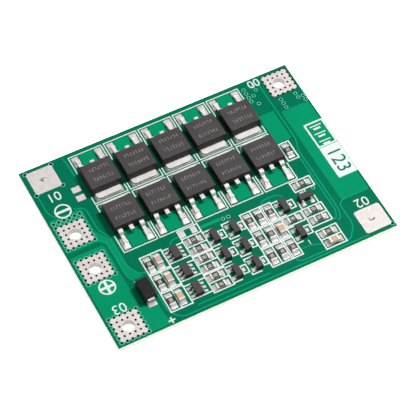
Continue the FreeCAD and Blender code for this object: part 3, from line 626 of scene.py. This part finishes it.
# Solder lands of the small parts: openings in the mask over the etched copper. They are levelled
# in the same hot solder as the terminals, and lie a little smoother because they are small.

land_finish = tinned("land_solder", TIN_LIGHT, TIN_DARK, 0.03)
dress("solder_lands", land_finish)


# The legend: white ink screened on the mask. Lines outline each part's place, and a few plain
# signs and numbers stand beside the terminals.

INK_RISE = 0.055
INK_LINE = 0.27
INK_WHITE = (0.90, 0.98, 0.94)
INK_THIN = (0.68, 0.86, 0.78)

ink_finish, shader, shade = finish("white_ink", Roughness=0.62)
point, _ = place_in_mm(shade)
body = grain(shade, point, 3.5, 3.0)
shade.feed(shader.inputs["Base Color"], ((body - 0.5) * 1.5 + 0.85).between(INK_THIN, INK_WHITE))
relief(shade, shader, body, 0.01, 0.5)

legend = []


def ink(x0, y0, x1, y1, width=INK_LINE):
    """One drawn line, a little longer than its ends."""
    heading = Vector((x1 - x0, y1 - y0)).normalized() * width / 2
    side = Vector((-heading.y, heading.x))
    start = Vector((x0, y0)) - heading
    end = Vector((x1, y1)) + heading
    corners = (start + side, start - side, end - side, end + side)
    legend.append([[tuple(corner) for corner in corners]])


def ink_box(x0, y0, x1, y1, width=INK_LINE):
    out = width / 2
    legend.append([
        box_outline(x0 - out, y0 - out, x1 + out, y1 + out),
        box_outline(x0 + out, y0 + out, x1 - out, y1 - out),
    ])


def ink_rows(x0, x1, levels):
    for y in levels:
        ink(x0, y, x1, y)


# Frames of the power transistors. Their sides are left out beside the mouldings, where the plain
# mask in the gaps stands as painted shade, so a row has four levels:
# lower line, end of the lower sides, start of the upper sides, upper line
FRAME_HALF = 3.57
FRAME_LINE = 0.21
FRAME_LEVELS = ((-3.85, 0.4, 6.9, 8.5), (9.0, 10.7, 17.2, 21.4))
for x in ROW_CENTRES:
    for base, lower_end, upper_start, top in FRAME_LEVELS:
        for y in (base, top):
            ink(x - FRAME_HALF, y, x + FRAME_HALF, y, FRAME_LINE)
        for side in (-1, 1):
            edge = x + side * FRAME_HALF
            ink(edge, base, edge, lower_end, FRAME_LINE)
            ink(edge, upper_start, edge, top, FRAME_LINE)

# Three control circuits lie one above the other, so most lines below come three times, and the
# blocks of chips break between one circuit and the next
BANK_PITCH = 4.55
BLOCK_TOP = -6.4
BLOCK_BREAKS = (-10.6, -10.95, -15.1, -15.45)

# Balance resistors and filter capacitors
FILTER_LEFT = -17.75
FILTER_MIDDLE = -15.5
FILTER_RIGHT = -13.2
FILTER_FOOT = -19.95
ink_box(FILTER_LEFT, FILTER_FOOT, FILTER_RIGHT, BLOCK_TOP)
ink(FILTER_MIDDLE, BLOCK_TOP, FILTER_MIDDLE, FILTER_FOOT)
ink_rows(FILTER_LEFT, FILTER_RIGHT, BLOCK_BREAKS)

# Controllers and the two columns of small transistors, by the levels of the first circuit
CONTROLLER_SPAN = (-12.9, -8.85)
CONTROLLER_LEVELS = (-6.85, -10.2)
TRANSISTOR_LEVELS = (-6.7, -10.5)
FIRST_SPAN = (-4.2, -2.5)
SECOND_SPAN = (-0.2, 1.7)
SECOND_STUBS = ((-6.7, -7.2), (-10.1, -10.5))
PAD_LEVELS = (-9.6, -7.75)
PAD_SPANS = ((-1.6, -0.4), (2.75, 3.8))
for bank in range(3):
    drop = bank * BANK_PITCH
    ink_rows(*CONTROLLER_SPAN, [y - drop for y in CONTROLLER_LEVELS])
    ink_rows(*FIRST_SPAN, [y - drop for y in TRANSISTOR_LEVELS])
    for column, (left, right) in enumerate(PAD_SPANS):
        if column == 1:
            ink_rows(*SECOND_SPAN, [y - drop for y in TRANSISTOR_LEVELS])
            for start, end in SECOND_STUBS:
                ink(SECOND_SPAN[0], start - drop, SECOND_SPAN[0], end - drop)
        ink_box(left, PAD_LEVELS[0] - drop, right, PAD_LEVELS[1] - drop)

# The middle stack of resistors, under its empty place
STACK_LEFT = -8.6
STACK_RIGHT = -4.3
STACK_TOP = -4.25
STACK_SHELF = -6.25
STACK_FOOT = -19.85
STACK_BREAKS = (-8.5, -10.65, -10.95, -13.0, -15.2, -15.5, -17.6)
ink_box(STACK_LEFT, STACK_SHELF, STACK_RIGHT, STACK_TOP)
ink_box(STACK_LEFT, STACK_FOOT, STACK_RIGHT, STACK_SHELF)
ink_rows(STACK_LEFT, STACK_RIGHT, STACK_BREAKS)

# The right array, of three columns
ARRAY_LEFT = 3.95
ARRAY_RIGHT = 10.6
ARRAY_FOOT = -19.9
ARRAY_COLUMNS = (6.05, 8.2, 8.6)
ink_box(ARRAY_LEFT, ARRAY_FOOT, ARRAY_RIGHT, BLOCK_TOP)
for x in ARRAY_COLUMNS:
    ink(x, BLOCK_TOP, x, ARRAY_FOOT)
ink_rows(ARRAY_LEFT, ARRAY_RIGHT, BLOCK_BREAKS)

# Driver transistors with the resistor between them, then the transistor above the right column
DRIVER_BOXES = (
    (13.6, -9.6, 14.8, -7.7), (13.6, -16.35, 14.8, -14.4), (10.95, -13.1, 14.95, -10.85),
)
DRIVER_SPAN = (10.8, 12.0)
DRIVER_LEVELS = (-6.75, -10.5, -13.45, -17.3)
EDGE_TRANSISTOR_BOX = (16.2, -6.65, 20.55, -4.25)
EDGE_TRANSISTOR_STUBS = ((18.1, -6.7, -7.2), (15.5, -8.9, -10.6), (19.2, -8.9, -10.6))
for place in DRIVER_BOXES:
    ink_box(*place)
ink_rows(*DRIVER_SPAN, DRIVER_LEVELS)
ink_box(*EDGE_TRANSISTOR_BOX)
for x, start, end in EDGE_TRANSISTOR_STUBS:
    ink(x, start, x, end)

# The right column of chips, and the upright resistor beside the rows
COLUMN_SPAN = (15.15, 19.6)
COLUMN_LEVELS = ((-10.85, -13.1), (-13.1, -15.35), (-16.55, -18.8), (-18.8, -21.1))
UPRIGHT_BOX = (18.8, 0.6, 21.1, 5.1)
for top, bottom in COLUMN_LEVELS:
    ink_box(COLUMN_SPAN[0], bottom, COLUMN_SPAN[1], top)
ink_box(*UPRIGHT_BOX)

# A small plus by the diode, and ringed minus and plus signs by the output terminals
PLUS_X = -18.45
PLUS_Y = -21.5
PLUS_HALF = 0.55
PLUS_LINE = 0.3
ink(PLUS_X - PLUS_HALF, PLUS_Y, PLUS_X + PLUS_HALF, PLUS_Y, PLUS_LINE)
ink(PLUS_X, PLUS_Y - PLUS_HALF, PLUS_X, PLUS_Y + PLUS_HALF, PLUS_LINE)

SIGN_X = -26.0
SIGN_RADIUS = 1.54
SIGN_LINE = 0.32
SIGN_BAR = 0.56
SIGN_SIDES = 40
SIGN_REACH = SIGN_RADIUS - SIGN_LINE
for y, crossed in ((10.35, False), (-9.35, True)):
    legend.append([
        disc(SIGN_X, y, SIGN_RADIUS + SIGN_LINE / 2, SIGN_SIDES),
        disc(SIGN_X, y, SIGN_RADIUS - SIGN_LINE / 2, SIGN_SIDES),
    ])
    ink(SIGN_X - SIGN_REACH, y, SIGN_X + SIGN_REACH, y, SIGN_BAR)
    if crossed:
        ink(SIGN_X, y - SIGN_REACH, SIGN_X, y + SIGN_REACH, SIGN_BAR)

# The block beside the right edge: three plain cells in a frame, and a white field with numbers
CELLS_BOX = (25.8, 0.75, 29.7, 6.8)
CELLS_LINE = 0.35
CELL_TOP = 5.9
CELL_STEP = 2.0
CELL_GAP = 0.75
CELL_LONG = (26.6, 28.9, 0.22)
CELL_SHORT = (27.2, 28.3, 0.42)
FIELD_BOX = (25.63, -7.5, 29.87, 0.45)
ink_box(*CELLS_BOX, CELLS_LINE)
for cell in range(3):
    y = CELL_TOP - cell * CELL_STEP
    left, right, line = CELL_LONG
    ink(left, y, right, y, line)
    left, right, line = CELL_SHORT
    ink(left, y - CELL_GAP, right, y - CELL_GAP, line)
legend.append([box_outline(*FIELD_BOX)])

# The share of a font's size that its numerals stand high
CAPITAL_SHARE = 0.7


def turned(turn, x, y, z=0.0):
    return Matrix.Translation((x, y, z)) @ Matrix.Rotation(math.radians(turn), 4, "Z")


def written(text, x, y, height, turn, base, rise):
    """A mesh in millimetres of plain numerals, centred on a point and turned in degrees."""
    curve = bpy.data.curves.new("numerals", "FONT")
    curve.body = text
    curve.size = height / CAPITAL_SHARE
    curve.extrude = rise / 2
    curve.align_x = "CENTER"
    curve.align_y = "CENTER"
    curve.resolution_u = 4
    shape = bpy.data.objects.new("numerals", curve)
    mesh = bpy.data.meshes.new_from_object(shape)
    mesh.transform(turned(turn, x, y, base + rise / 2))
    bpy.data.objects.remove(shape)
    return mesh


# Text, place, height and turn in degrees
NUMERALS = [
    ("01", -26.1, 14.3, 2.1, 180), ("00", 21.9, 21.2, 1.9, 180), ("02", 26.6, -14.5, 2.1, 180),
    ("03", -26.1, -14.6, 2.1, 180), ("1", 13.0, -18.0, 1.1, 180),
]
FIELD_NUMERAL = ("123", 27.75, -3.55, 2.9, -90)
FIELD_LAP = 0.01
# The lines take nine heights in turn, because coats that cross never lie in one plane
INK_STEP = 0.0012
INK_STEPS = 9
plates = [
    filled("legend", shape, MASK_TOP, INK_RISE - INK_STEP * (k % INK_STEPS))
    for k, shape in enumerate(legend)
]
numerals = [written(*numeral, MASK_TOP, INK_RISE) for numeral in NUMERALS]
settle("white_legend", plates + numerals, ink_finish)
field_mesh = written(*FIELD_NUMERAL, MASK_TOP + INK_RISE - FIELD_LAP, 2 * FIELD_LAP)
settle("field_numbers", [field_mesh], board_finish)


# Power transistors: a satin black epoxy moulding over a tinned copper drain plate. The leads
# are stamped wide at the moulding, narrow below it, and formed down to their lands. A laser
# leaves faint rows of plain strokes on top.

LAND_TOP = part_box("solder_lands")[1].z / MM
EPOXY_TOP = (0.086, 0.077, 0.080)
EPOXY_TOP_DARK = (0.042, 0.036, 0.038)
# Painted shade: the moulding's sides take this darker colour than its top
EPOXY_SIDE_PAINTED_SHADE = (0.024, 0.020, 0.020)
LEAD_TIN = (0.94, 0.92, 0.89)
LEAD_TIN_DARK = (0.80, 0.77, 0.73)
MARK_GREY = (0.330, 0.310, 0.300)
MARK_FAINT = (0.130, 0.120, 0.116)


def moulded(name, light, dark, side, rough=0.5):
    """Moulded epoxy: a spark-eroded top, and smoother sides, coloured darker as painted shade."""
    made, shader, shade = finish(name, Roughness=rough, Specular_Ior_Level=0.3)
    point, _ = place_in_mm(shade)
    cloud = grain(shade, point, 0.35, 3.0)
    fine = grain(shade, point, 7.0, 3.0, 0.6)
    top = ((cloud * 0.5 + fine * 0.5 - 0.5) * 2.4 + 0.5).between(dark, light)
    # Faces that do not look up get the side colour, a painted shade
    shade.feed(shader.inputs["Base Color"], (upward(shade) > 0.6).between(side, top))
    shade.feed(shader.inputs["Roughness"], fine * 0.25 + (rough - 0.12))
    relief(shade, shader, fine, 0.02, 0.5)
    return made


SHARP = math.radians(30)
FLAT = math.radians(1)
EASE_STEPS = 3
# An edge shorter than three widths is left as it is
SHORTEST_EASED = 3


def eased(node_name, name, width, material):
    """The node's moulding with its upper and upright edges rounded by a width in millimetres."""
    shape = bmesh.new()
    shape.from_mesh(nodes[node_name].data)
    bmesh.ops.remove_doubles(shape, verts=shape.verts, dist=1e-7)
    bmesh.ops.dissolve_limit(shape, angle_limit=FLAT, verts=shape.verts, edges=shape.edges)
    low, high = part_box(node_name)
    middle = (low.z + high.z) / 2
    corners = []
    for edge in shape.edges:
        outer = len(edge.link_faces) == 2 and edge.calc_face_angle_signed(0.0) > SHARP
        upper = max(v.co.z for v in edge.verts) > middle
        if outer and upper and edge.calc_length() > SHORTEST_EASED * width * MM:
            corners.append(edge)
    bmesh.ops.bevel(
        shape, geom=corners, offset=width * MM, segments=EASE_STEPS, profile=0.5, affect="EDGES"
    )
    mesh = bpy.data.meshes.new(name)
    shape.to_mesh(mesh)
    shape.free()
    piece = ride_along(name, mesh, material)
    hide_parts(node_name)


def evenly(route, step):
    """Points at even steps along a route, with the length to each."""
    made = [(route[0], 0.0)]
    run = 0.0
    for start, end in zip(route, route[1:]):
        length = (end - start).length
        count = max(1, round(length / step))
        for k in range(1, count + 1):
            made.append((start.lerp(end, k / count), run + length * k / count))
        run += length
    return made


LEAD_CHAMFER = 0.07
LEAD_STEP = 0.16
LEAD_SIDES = 8


def formed_strip(points, bend, widths, thickness, across):
    """A stamped lead: a side route of (y, z) points with rounded bends, and widths by length."""
    shape = bmesh.new()
    route = [Vector(p) for p in rounded(points, bend, closed=False)]
    stations = evenly(route, LEAD_STEP)
    rings = []
    for k, (here, run) in enumerate(stations):
        ahead = stations[min(k + 1, len(stations) - 1)][0]
        behind = stations[max(k - 1, 0)][0]
        heading = (ahead - behind).normalized()
        out = Vector((-heading.y, heading.x))
        side = widths(run) / 2
        level = thickness / 2
        ring = []
        for sx, sz in ((1, 1), (-1, 1), (-1, -1), (1, -1)):
            pair = [(side - LEAD_CHAMFER, level), (side, level - LEAD_CHAMFER)]
            for x, z in (pair if sx * sz < 0 else pair[::-1]):
                spot = here + out * z * sz
                ring.append(shape.verts.new((across + x * sx, spot.x, spot.y)))
        rings.append(ring)
    for ring, following in zip(rings, rings[1:]):
        for k in range(LEAD_SIDES):
            j = (k + 1) % LEAD_SIDES
            shape.faces.new((ring[k], ring[j], following[j], following[k]))
    shape.faces.new(rings[0])
    shape.faces.new(rings[-1][::-1])
    mesh = bpy.data.meshes.new("formed_strip")
    shape.to_mesh(mesh)
    shape.free()
    return mesh


def blend_widths(stops):
    """A width that eases from one stop (length, width) to the next."""
    def width(run):
        for (start, w0), (end, w1) in zip(stops, stops[1:]):
            if run <= end:
                t = max(0.0, (run - start) / (end - start))
                return w0 + (w1 - w0) * t * t * (3 - 2 * t)
        return stops[-1][1]
    return width


low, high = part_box("power_moulding_lower_1")
MOULDING_HALF = (high.y - low.y) / 2 / MM
PLATE_THICKNESS = 0.5
PLATE_HALF = 2.7
PLATE_EDGE = 0.06
PLATE_START = MOULDING_HALF - 3.6
TAB_END = MOULDING_HALF + 1.3
TAB_CORNER = 0.45
TAB_BEND = 0.3
LEAD_HEIGHT = 1.05
LEAD_PITCH = 2.3
LEAD_INSIDE = 0.1
LEAD_SHOULDER = 0.59
LEAD_STEP_END = 0.96
LEAD_REACH = 2.9
CROPPED_REACH = 1.1
CROPPED_SLOPE = 0.7
OUTER_BEND = 0.34
MIDDLE_BEND = 0.3

# Side routes of the leads, from the moulding out: half height first, then down to the land
outer_lead = [
    (-MOULDING_HALF + LEAD_INSIDE, LEAD_HEIGHT), (-MOULDING_HALF - LEAD_SHOULDER, LEAD_HEIGHT),
    (-MOULDING_HALF - LEAD_STEP_END, PLATE_THICKNESS / 2),
    (-MOULDING_HALF - LEAD_REACH, PLATE_THICKNESS / 2),
]
middle_lead = [
    (PLATE_START + LEAD_INSIDE, PLATE_THICKNESS / 2), (PLATE_START - CROPPED_SLOPE, LEAD_HEIGHT),
    (-MOULDING_HALF - CROPPED_REACH, LEAD_HEIGHT),
]
# Widths of the leads by the length from their start
OUTER_STOPS = [(0.0, 1.0), (0.75, 1.0), (1.25, 0.82), (2.2, 0.78), (3.2, 1.0)]
MIDDLE_STOPS = [(0.0, 0.9), (9.0, 0.9)]
outer_widths = blend_widths(OUTER_STOPS)
middle_widths = blend_widths(MIDDLE_STOPS)
plate_outline = rounded([
    (-PLATE_HALF, PLATE_START), (PLATE_HALF, PLATE_START), (PLATE_HALF, TAB_END - TAB_CORNER),
    (PLATE_HALF - TAB_CORNER, TAB_END), (-PLATE_HALF + TAB_CORNER, TAB_END),
    (-PLATE_HALF, TAB_END - TAB_CORNER),
], TAB_BEND)

power_epoxy = moulded("power_epoxy", EPOXY_TOP, EPOXY_TOP_DARK, EPOXY_SIDE_PAINTED_SHADE)
lead_finish = tinned("tinned_leadframe", LEAD_TIN, LEAD_TIN_DARK, 0.02)
mark_finish, shader, shade = finish("laser_marking", Roughness=0.7)
point, _ = place_in_mm(shade)
worn = grain(shade, point, 1.2, 3.0)
shade.feed(shader.inputs["Base Color"], ((worn - 0.5) * 3 + 0.55).between(MARK_FAINT, MARK_GREY))
relief(shade, shader, worn, 0.01, 0.3)

MARK_ROWS = ((1.15, 0.95), (-1.25, 0.85))
MARK_HALF = 2.1
MARK_STEP = 0.62
MARK_WIDTH = 0.13
MARK_FOOT = 0.4
MARK_RISE = 0.006
MARK_LAP = MARK_RISE / 3
SHORTEST_MARK = 0.85
choose = random.Random(7)


def mark_row(y, height):
    """A row of plain upright and level strokes that spell nothing."""
    outlines = []
    x = -MARK_HALF
    while x < MARK_HALF:
        reach = height / 2 * choose.uniform(SHORTEST_MARK, 1.0)
        outlines.append(box_outline(x, y - reach, x + MARK_WIDTH, y + reach))
        bar = y + choose.choice((-1, 0, 1)) * (height / 2 - MARK_WIDTH)
        outlines.append(
            box_outline(x + MARK_WIDTH, bar - MARK_WIDTH / 2, x + MARK_FOOT, bar + MARK_WIDTH / 2)
        )
        x += MARK_STEP
    return outlines


POWER_EASE = 0.12
marks = []
for row, turn in (("lower", 0), ("upper", 180)):
    for k in range(1, 6):
        node_name = f"power_moulding_{row}_{k}"
        low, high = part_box(node_name)
        x = (low.x + high.x) / 2 / MM
        y = (low.y + high.y) / 2 / MM
        eased(node_name, f"rounded_{node_name}", POWER_EASE, power_epoxy)
        strips = [
            formed_strip(
                outer_lead, OUTER_BEND, outer_widths, PLATE_THICKNESS, side * LEAD_PITCH
            )
            for side in (-1, 1)
        ]
        strips.append(
            formed_strip(middle_lead, MIDDLE_BEND, middle_widths, PLATE_THICKNESS, 0.0)
        )
        strips.append(filled("drain_plate", [plate_outline], 0.0, PLATE_THICKNESS, PLATE_EDGE))
        for mesh in strips:
            mesh.transform(turned(turn, x, y, LAND_TOP))
        piece = settle(f"formed_power_leads_{row}_{k}", strips, lead_finish)
        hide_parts(f"power_leads_{row}_{k}")
        top = high.z / MM
        for mark_y, height in MARK_ROWS:
            for outline in mark_row(mark_y, height):
                mesh = filled("mark", [outline], 0.0, MARK_RISE)
                mesh.transform(turned(turn, x, y, top - MARK_LAP))
                marks.append(mesh)
settle("power_markings", marks, mark_finish)


# Small transistors and controllers: the same epoxy in mouldings less than half as wide. Their
# fine gull-wing leads are trimmed from one strip, formed, and soldered to their lands.

SMALL_TOP = (0.080, 0.072, 0.075)
SMALL_TOP_DARK = (0.052, 0.046, 0.049)
# Painted shade: the sides of the small mouldings take this darker colour
SMALL_SIDE_PAINTED_SHADE = (0.022, 0.019, 0.019)
SMALL_EASE = 0.07
SMALL_KINDS = (("small_transistor", 9), ("controller", 3))
small_epoxy = moulded("small_epoxy", SMALL_TOP, SMALL_TOP_DARK, SMALL_SIDE_PAINTED_SHADE)
for kind, count in SMALL_KINDS:
    for k in range(1, count + 1):
        eased(f"{kind}_body_{k}", f"rounded_{kind}_{k}", SMALL_EASE, small_epoxy)
        dress(f"{kind}_leads_{k}", lead_finish)


# The diode: a taller, glossier moulding, cast round its chip and two flat strips. The strips
# come out at half height and fold down and under it.

DIODE_TOP = (0.022, 0.017, 0.019)
DIODE_TOP_DARK = (0.011, 0.009, 0.010)
# Painted shade: the diode's sides take this darker colour
DIODE_SIDE_PAINTED_SHADE = (0.007, 0.006, 0.006)
DIODE_EASE = 0.14
diode_epoxy = moulded("diode_epoxy", DIODE_TOP, DIODE_TOP_DARK, DIODE_SIDE_PAINTED_SHADE, 0.32)
eased("diode_body", "rounded_diode", DIODE_EASE, diode_epoxy)
dress("diode_leads", lead_finish)


# Chip resistors: alumina with a black glass coat on top and plain printed strokes. Chip
# capacitors: fired tan ceramic, with some from a pinker batch. Both have tinned end caps, which
# hold them to their lands.

GLASS_BLACK = (0.016, 0.014, 0.014)
GLASS_DUSTY = (0.036, 0.033, 0.032)
ALUMINA = (0.62, 0.60, 0.56)
ALUMINA_SHADE = (0.50, 0.47, 0.43)
CERAMIC_TAN = (0.70, 0.50, 0.31)
CERAMIC_PINK = (0.70, 0.47, 0.43)
CERAMIC_SPECK = (0.60, 0.40, 0.28)
CAP_TIN = (0.95, 0.93, 0.90)
CAP_TIN_DARK = (0.78, 0.75, 0.71)
PINK_BATCH_RIGHT = 0.0
PINK_BATCH_BASE = -15.5

resistor_finish, shader, shade = finish("resistor_glass_on_alumina", Roughness=0.3)
point, _ = place_in_mm(shade)
speck = grain(shade, point, 4.0, 2.0)
glass = speck.between(GLASS_BLACK, GLASS_DUSTY)
chalk = speck.between(ALUMINA, ALUMINA_SHADE)
shade.feed(shader.inputs["Base Color"], (upward(shade) > 0.5).between(chalk, glass))
relief(shade, shader, speck, 0.01, 0.4)
dress("chip_resistor_bodies", resistor_finish)

capacitor_finish, shader, shade = finish("fired_ceramic", Roughness=0.42)
point, (across, along, up) = place_in_mm(shade)
speck = grain(shade, point, 5.0, 3.0)
pink_batch = (PINK_BATCH_RIGHT > across) * (along > PINK_BATCH_BASE)
warm = pink_batch.between(CERAMIC_TAN, CERAMIC_PINK)
shade.feed(shader.inputs["Base Color"], (speck * 0.4).between(warm, CERAMIC_SPECK))
relief(shade, shader, speck, 0.012, 0.4)
dress("chip_capacitor_bodies", capacitor_finish)

cap_finish = tinned("end_cap_tin", CAP_TIN, CAP_TIN_DARK, 0.03)
dress("chip_resistor_end_caps", cap_finish)
dress("chip_capacitor_end_caps", cap_finish)


def lumps(node_name, ceiling=None):
    """The box of each loose piece of a node in millimetres, up to a ceiling if one is given."""
    shape = bmesh.new()
    shape.from_mesh(nodes[node_name].data)
    bmesh.ops.remove_doubles(shape, verts=shape.verts, dist=1e-7)
    waiting = set(shape.verts)
    found = []
    while waiting:
        group = [waiting.pop()]
        for vertex in group:
            for edge in vertex.link_edges:
                other = edge.other_vert(vertex)
                if other in waiting:
                    waiting.remove(other)
                    group.append(other)
        spots = [v.co / MM for v in group if ceiling is None or v.co.z / MM < ceiling]
        found.append((
            Vector([min(p[k] for p in spots) for k in range(3)]),
            Vector([max(p[k] for p in spots) for k in range(3)]),
        ))
    shape.free()
    return sorted(found, key=lambda box: tuple(box[0]))


PRINT_STEP = 0.30
PRINT_WIDTH = 0.22
PRINT_HEIGHT = 0.72
HOLLOW_WIDTH = PRINT_WIDTH / 3
HOLLOW_HEIGHT = PRINT_HEIGHT / 2
PRINT_LIGHT = (0.80, 0.77, 0.73)
PRINT_WORN = (0.42, 0.40, 0.37)
print_finish, shader, shade = finish("chip_print", Roughness=0.6)
point, _ = place_in_mm(shade)
worn = grain(shade, point, 2.0, 2.0)
shade.feed(shader.inputs["Base Color"], worn.between(PRINT_WORN, PRINT_LIGHT))
relief(shade, shader, worn, 0.01, 0.3)
strokes = []
for low, high in lumps("chip_resistor_bodies"):
    middle = (low + high) / 2
    turn = 90 if high.y - low.y > high.x - low.x else 0
    for k in (-1, 0, 1):
        spot = k * PRINT_STEP
        outlines = [
            box_outline(spot - wide / 2, -tall / 2, spot + wide / 2, tall / 2)
            for wide, tall in ((PRINT_WIDTH, PRINT_HEIGHT), (HOLLOW_WIDTH, HOLLOW_HEIGHT))
        ]
        mesh = filled("stroke", outlines if k else outlines[:1], 0.0, MARK_RISE)
        mesh.transform(turned(turn, middle.x, middle.y, high.z - MARK_LAP))
        strokes.append(mesh)
settle("resistor_print", strokes, print_finish)


# Solder: reflowed paste that wets each land and climbs its lead, plate or end cap in a hollow
# skirt. It is brighter and smoother than the lands.

SOLDER_LIGHT = (0.90, 0.87, 0.84)
SOLDER_DARK = (0.66, 0.61, 0.57)
SKIRT_CELLS = 10
SKIRT_DEPTH = 0.01
SKIRT_LAP = 0.004
SHORTEST = 0.05
# The skirts ripple in two crossed waves, in radians per millimetre across and along
RIPPLE = 0.12
RIPPLE_SINE = (5.1, 3.7)
RIPPLE_COSINE = (-2.9, 4.3)


def share_off(spot, foot, edge):
    """How far a spot lies from the foot, as a share of the way to the land's edge."""
    return (foot - spot) / max(foot - edge, SHORTEST)


def skirt(land, foot, climb):
    """A closed skirt from the land's edge up to the foot that stands on it."""
    (x0, y0, _), (x1, y1, base) = land
    (fx0, fy0, _), (fx1, fy1, _) = foot
    shape = bmesh.new()
    rows = []
    for j in range(SKIRT_CELLS + 1):
        row = []
        for i in range(SKIRT_CELLS + 1):
            x = x0 + (x1 - x0) * i / SKIRT_CELLS
            y = y0 + (y1 - y0) * j / SKIRT_CELLS
            off_x = max(share_off(x, fx0, x0), share_off(-x, -fx1, -x1), 0.0)
            off_y = max(share_off(y, fy0, y0), share_off(-y, -fy1, -y1), 0.0)
            away = min(1.0, (off_x ** 3 + off_y ** 3) ** (1 / 3))
            sine = math.sin(RIPPLE_SINE[0] * x + RIPPLE_SINE[1] * y)
            cosine = math.cos(RIPPLE_COSINE[0] * x + RIPPLE_COSINE[1] * y)
            ripple = 1 + RIPPLE * sine * cosine
            z = base + climb * ripple * (1 - away) ** 2 + SKIRT_LAP
            row.append(shape.verts.new((x, y, z)))
        rows.append(row)
    for lower, upper in zip(rows, rows[1:]):
        for k in range(SKIRT_CELLS):
            shape.faces.new((lower[k], lower[k + 1], upper[k + 1], upper[k]))
    rim = rows[0] + [row[-1] for row in rows[1:]]
    rim += rows[-1][-2::-1] + [row[0] for row in rows[-2:0:-1]]
    under = [shape.verts.new((v.co.x, v.co.y, base - SKIRT_DEPTH)) for v in rim]
    for k in range(len(rim)):
        j = (k + 1) % len(rim)
        shape.faces.new((rim[j], rim[k], under[k], under[j]))
    shape.faces.new(under[::-1])
    for face in shape.faces:
        face.smooth = True
    mesh = bpy.data.meshes.new("skirt")
    shape.to_mesh(mesh)
    shape.free()
    return mesh


# How high the solder climbs each kind of foot, and below which level a lead counts as its foot
POWER_CLIMB = 0.36
SMALL_CLIMB = 0.17
DIODE_CLIMB = 0.5
RESISTOR_CLIMB = 0.40
CAPACITOR_CLIMB = 0.55
POWER_FOOT = LAND_TOP + 0.55
SMALL_FOOT = LAND_TOP + 0.2
DIODE_FOOT = LAND_TOP + 0.3

solder_finish = tinned("reflowed_solder", SOLDER_LIGHT, SOLDER_DARK, 0.05, 0.36, 0.12)
lands = lumps("solder_lands")
feet = []
for row in ("lower", "upper"):
    for k in range(1, 6):
        feet += [(box, POWER_CLIMB) for box in lumps(f"power_leads_{row}_{k}", POWER_FOOT)]
for kind, count in SMALL_KINDS:
    for k in range(1, count + 1):
        feet += [(box, SMALL_CLIMB) for box in lumps(f"{kind}_leads_{k}", SMALL_FOOT)]
feet += [(box, DIODE_CLIMB) for box in lumps("diode_leads", DIODE_FOOT)]
feet += [(box, RESISTOR_CLIMB) for box in lumps("chip_resistor_end_caps")]
feet += [(box, CAPACITOR_CLIMB) for box in lumps("chip_capacitor_end_caps")]
skirts = []
for foot, climb in feet:
    middle = (foot[0] + foot[1]) / 2
    for land in lands:
        if land[0].x < middle.x < land[1].x and land[0].y < middle.y < land[1].y:
            skirts.append(skirt(land, foot, climb))
settle("solder_skirts", skirts, solder_finish)


# The stage: a white table under soft light from three sides, and a long lens from the front
# left. The camera's angles and distance, in metres and degrees, fit the board's four corners.

FLOOR_HALF = 3.0
FLOOR_GLOW = 0.9
SKY_LIGHT = 0.22
floor_mesh = bpy.data.meshes.new("floor")
floor_outline = box_outline(-FLOOR_HALF, -FLOOR_HALF, FLOOR_HALF, FLOOR_HALF)
floor_mesh.from_pydata([(x, y, 0) for x, y in floor_outline], [], [(0, 1, 2, 3)])
floor = bpy.data.objects.new("floor", floor_mesh)
bpy.context.scene.collection.objects.link(floor)
floor_finish, shader, shade = finish(
    "white_table", Base_Color=(0.9, 0.9, 0.9), Roughness=0.9, Emission_Color=(1.0, 1.0, 1.0),
    Emission_Strength=FLOOR_GLOW,
)
floor_mesh.materials.append(floor_finish)

scene = bpy.context.scene
scene.view_settings.view_transform = "Standard"
scene.world = bpy.data.worlds.new("studio")
scene.world.use_nodes = True
sky = scene.world.node_tree.nodes["Background"]
sky.inputs["Color"].default_value = (1.0, 1.0, 1.0, 1.0)
sky.inputs["Strength"].default_value = SKY_LIGHT


def softbox(name, azimuth, elevation, distance, width, power):
    """A square light aimed at the board. Azimuth 0 is behind it, along +Y."""
    light = bpy.data.lights.new(name, "AREA")
    light.shape = "SQUARE"
    light.size = width
    light.energy = power
    turn = math.radians(azimuth)
    lift = math.radians(elevation)
    level = math.cos(lift)
    spot = Vector((math.sin(turn) * level, math.cos(turn) * level, math.sin(lift)))
    lamp = bpy.data.objects.new(name, light)
    scene.collection.objects.link(lamp)
    lamp.location = spot * distance
    lamp.rotation_euler = spot.to_track_quat("Z", "Y").to_euler()


softbox("key", 84, 61, 0.6, 0.10, 2.5)
softbox("top", -10, 84, 0.6, 0.15, 0.5)
softbox("front", 200, 22, 0.8, 0.4, 0.3)

CAMERA_AZIMUTH = math.radians(-27.904)
CAMERA_ELEVATION = math.radians(55.189)
CAMERA_ROLL = math.radians(0.312)
CAMERA_DISTANCE = 0.37145
AIM = Vector((-0.000653, -0.001823, MASK_TOP * MM))
FOCAL_PIXELS = 1908.16
PHOTO_WIDTH = 415
SENSOR = 36.0
back = Vector((
    math.sin(CAMERA_AZIMUTH) * math.cos(CAMERA_ELEVATION),
    -math.cos(CAMERA_AZIMUTH) * math.cos(CAMERA_ELEVATION),
    math.sin(CAMERA_ELEVATION),
))
level = Vector((0, 0, 1)).cross(back).normalized()
rise = back.cross(level)
right = math.cos(CAMERA_ROLL) * level + math.sin(CAMERA_ROLL) * rise
top = math.cos(CAMERA_ROLL) * rise - math.sin(CAMERA_ROLL) * level
camera_data = bpy.data.cameras.new("camera")
camera_data.sensor_width = SENSOR
camera_data.lens = SENSOR * FOCAL_PIXELS / PHOTO_WIDTH
camera_data.clip_start = 0.01
camera = bpy.data.objects.new("camera", camera_data)
scene.collection.objects.link(camera)
camera.matrix_world = Matrix.Translation(AIM + back * CAMERA_DISTANCE) @ Matrix(
    (right, top, back)
).transposed().to_4x4()
scene.camera = camera
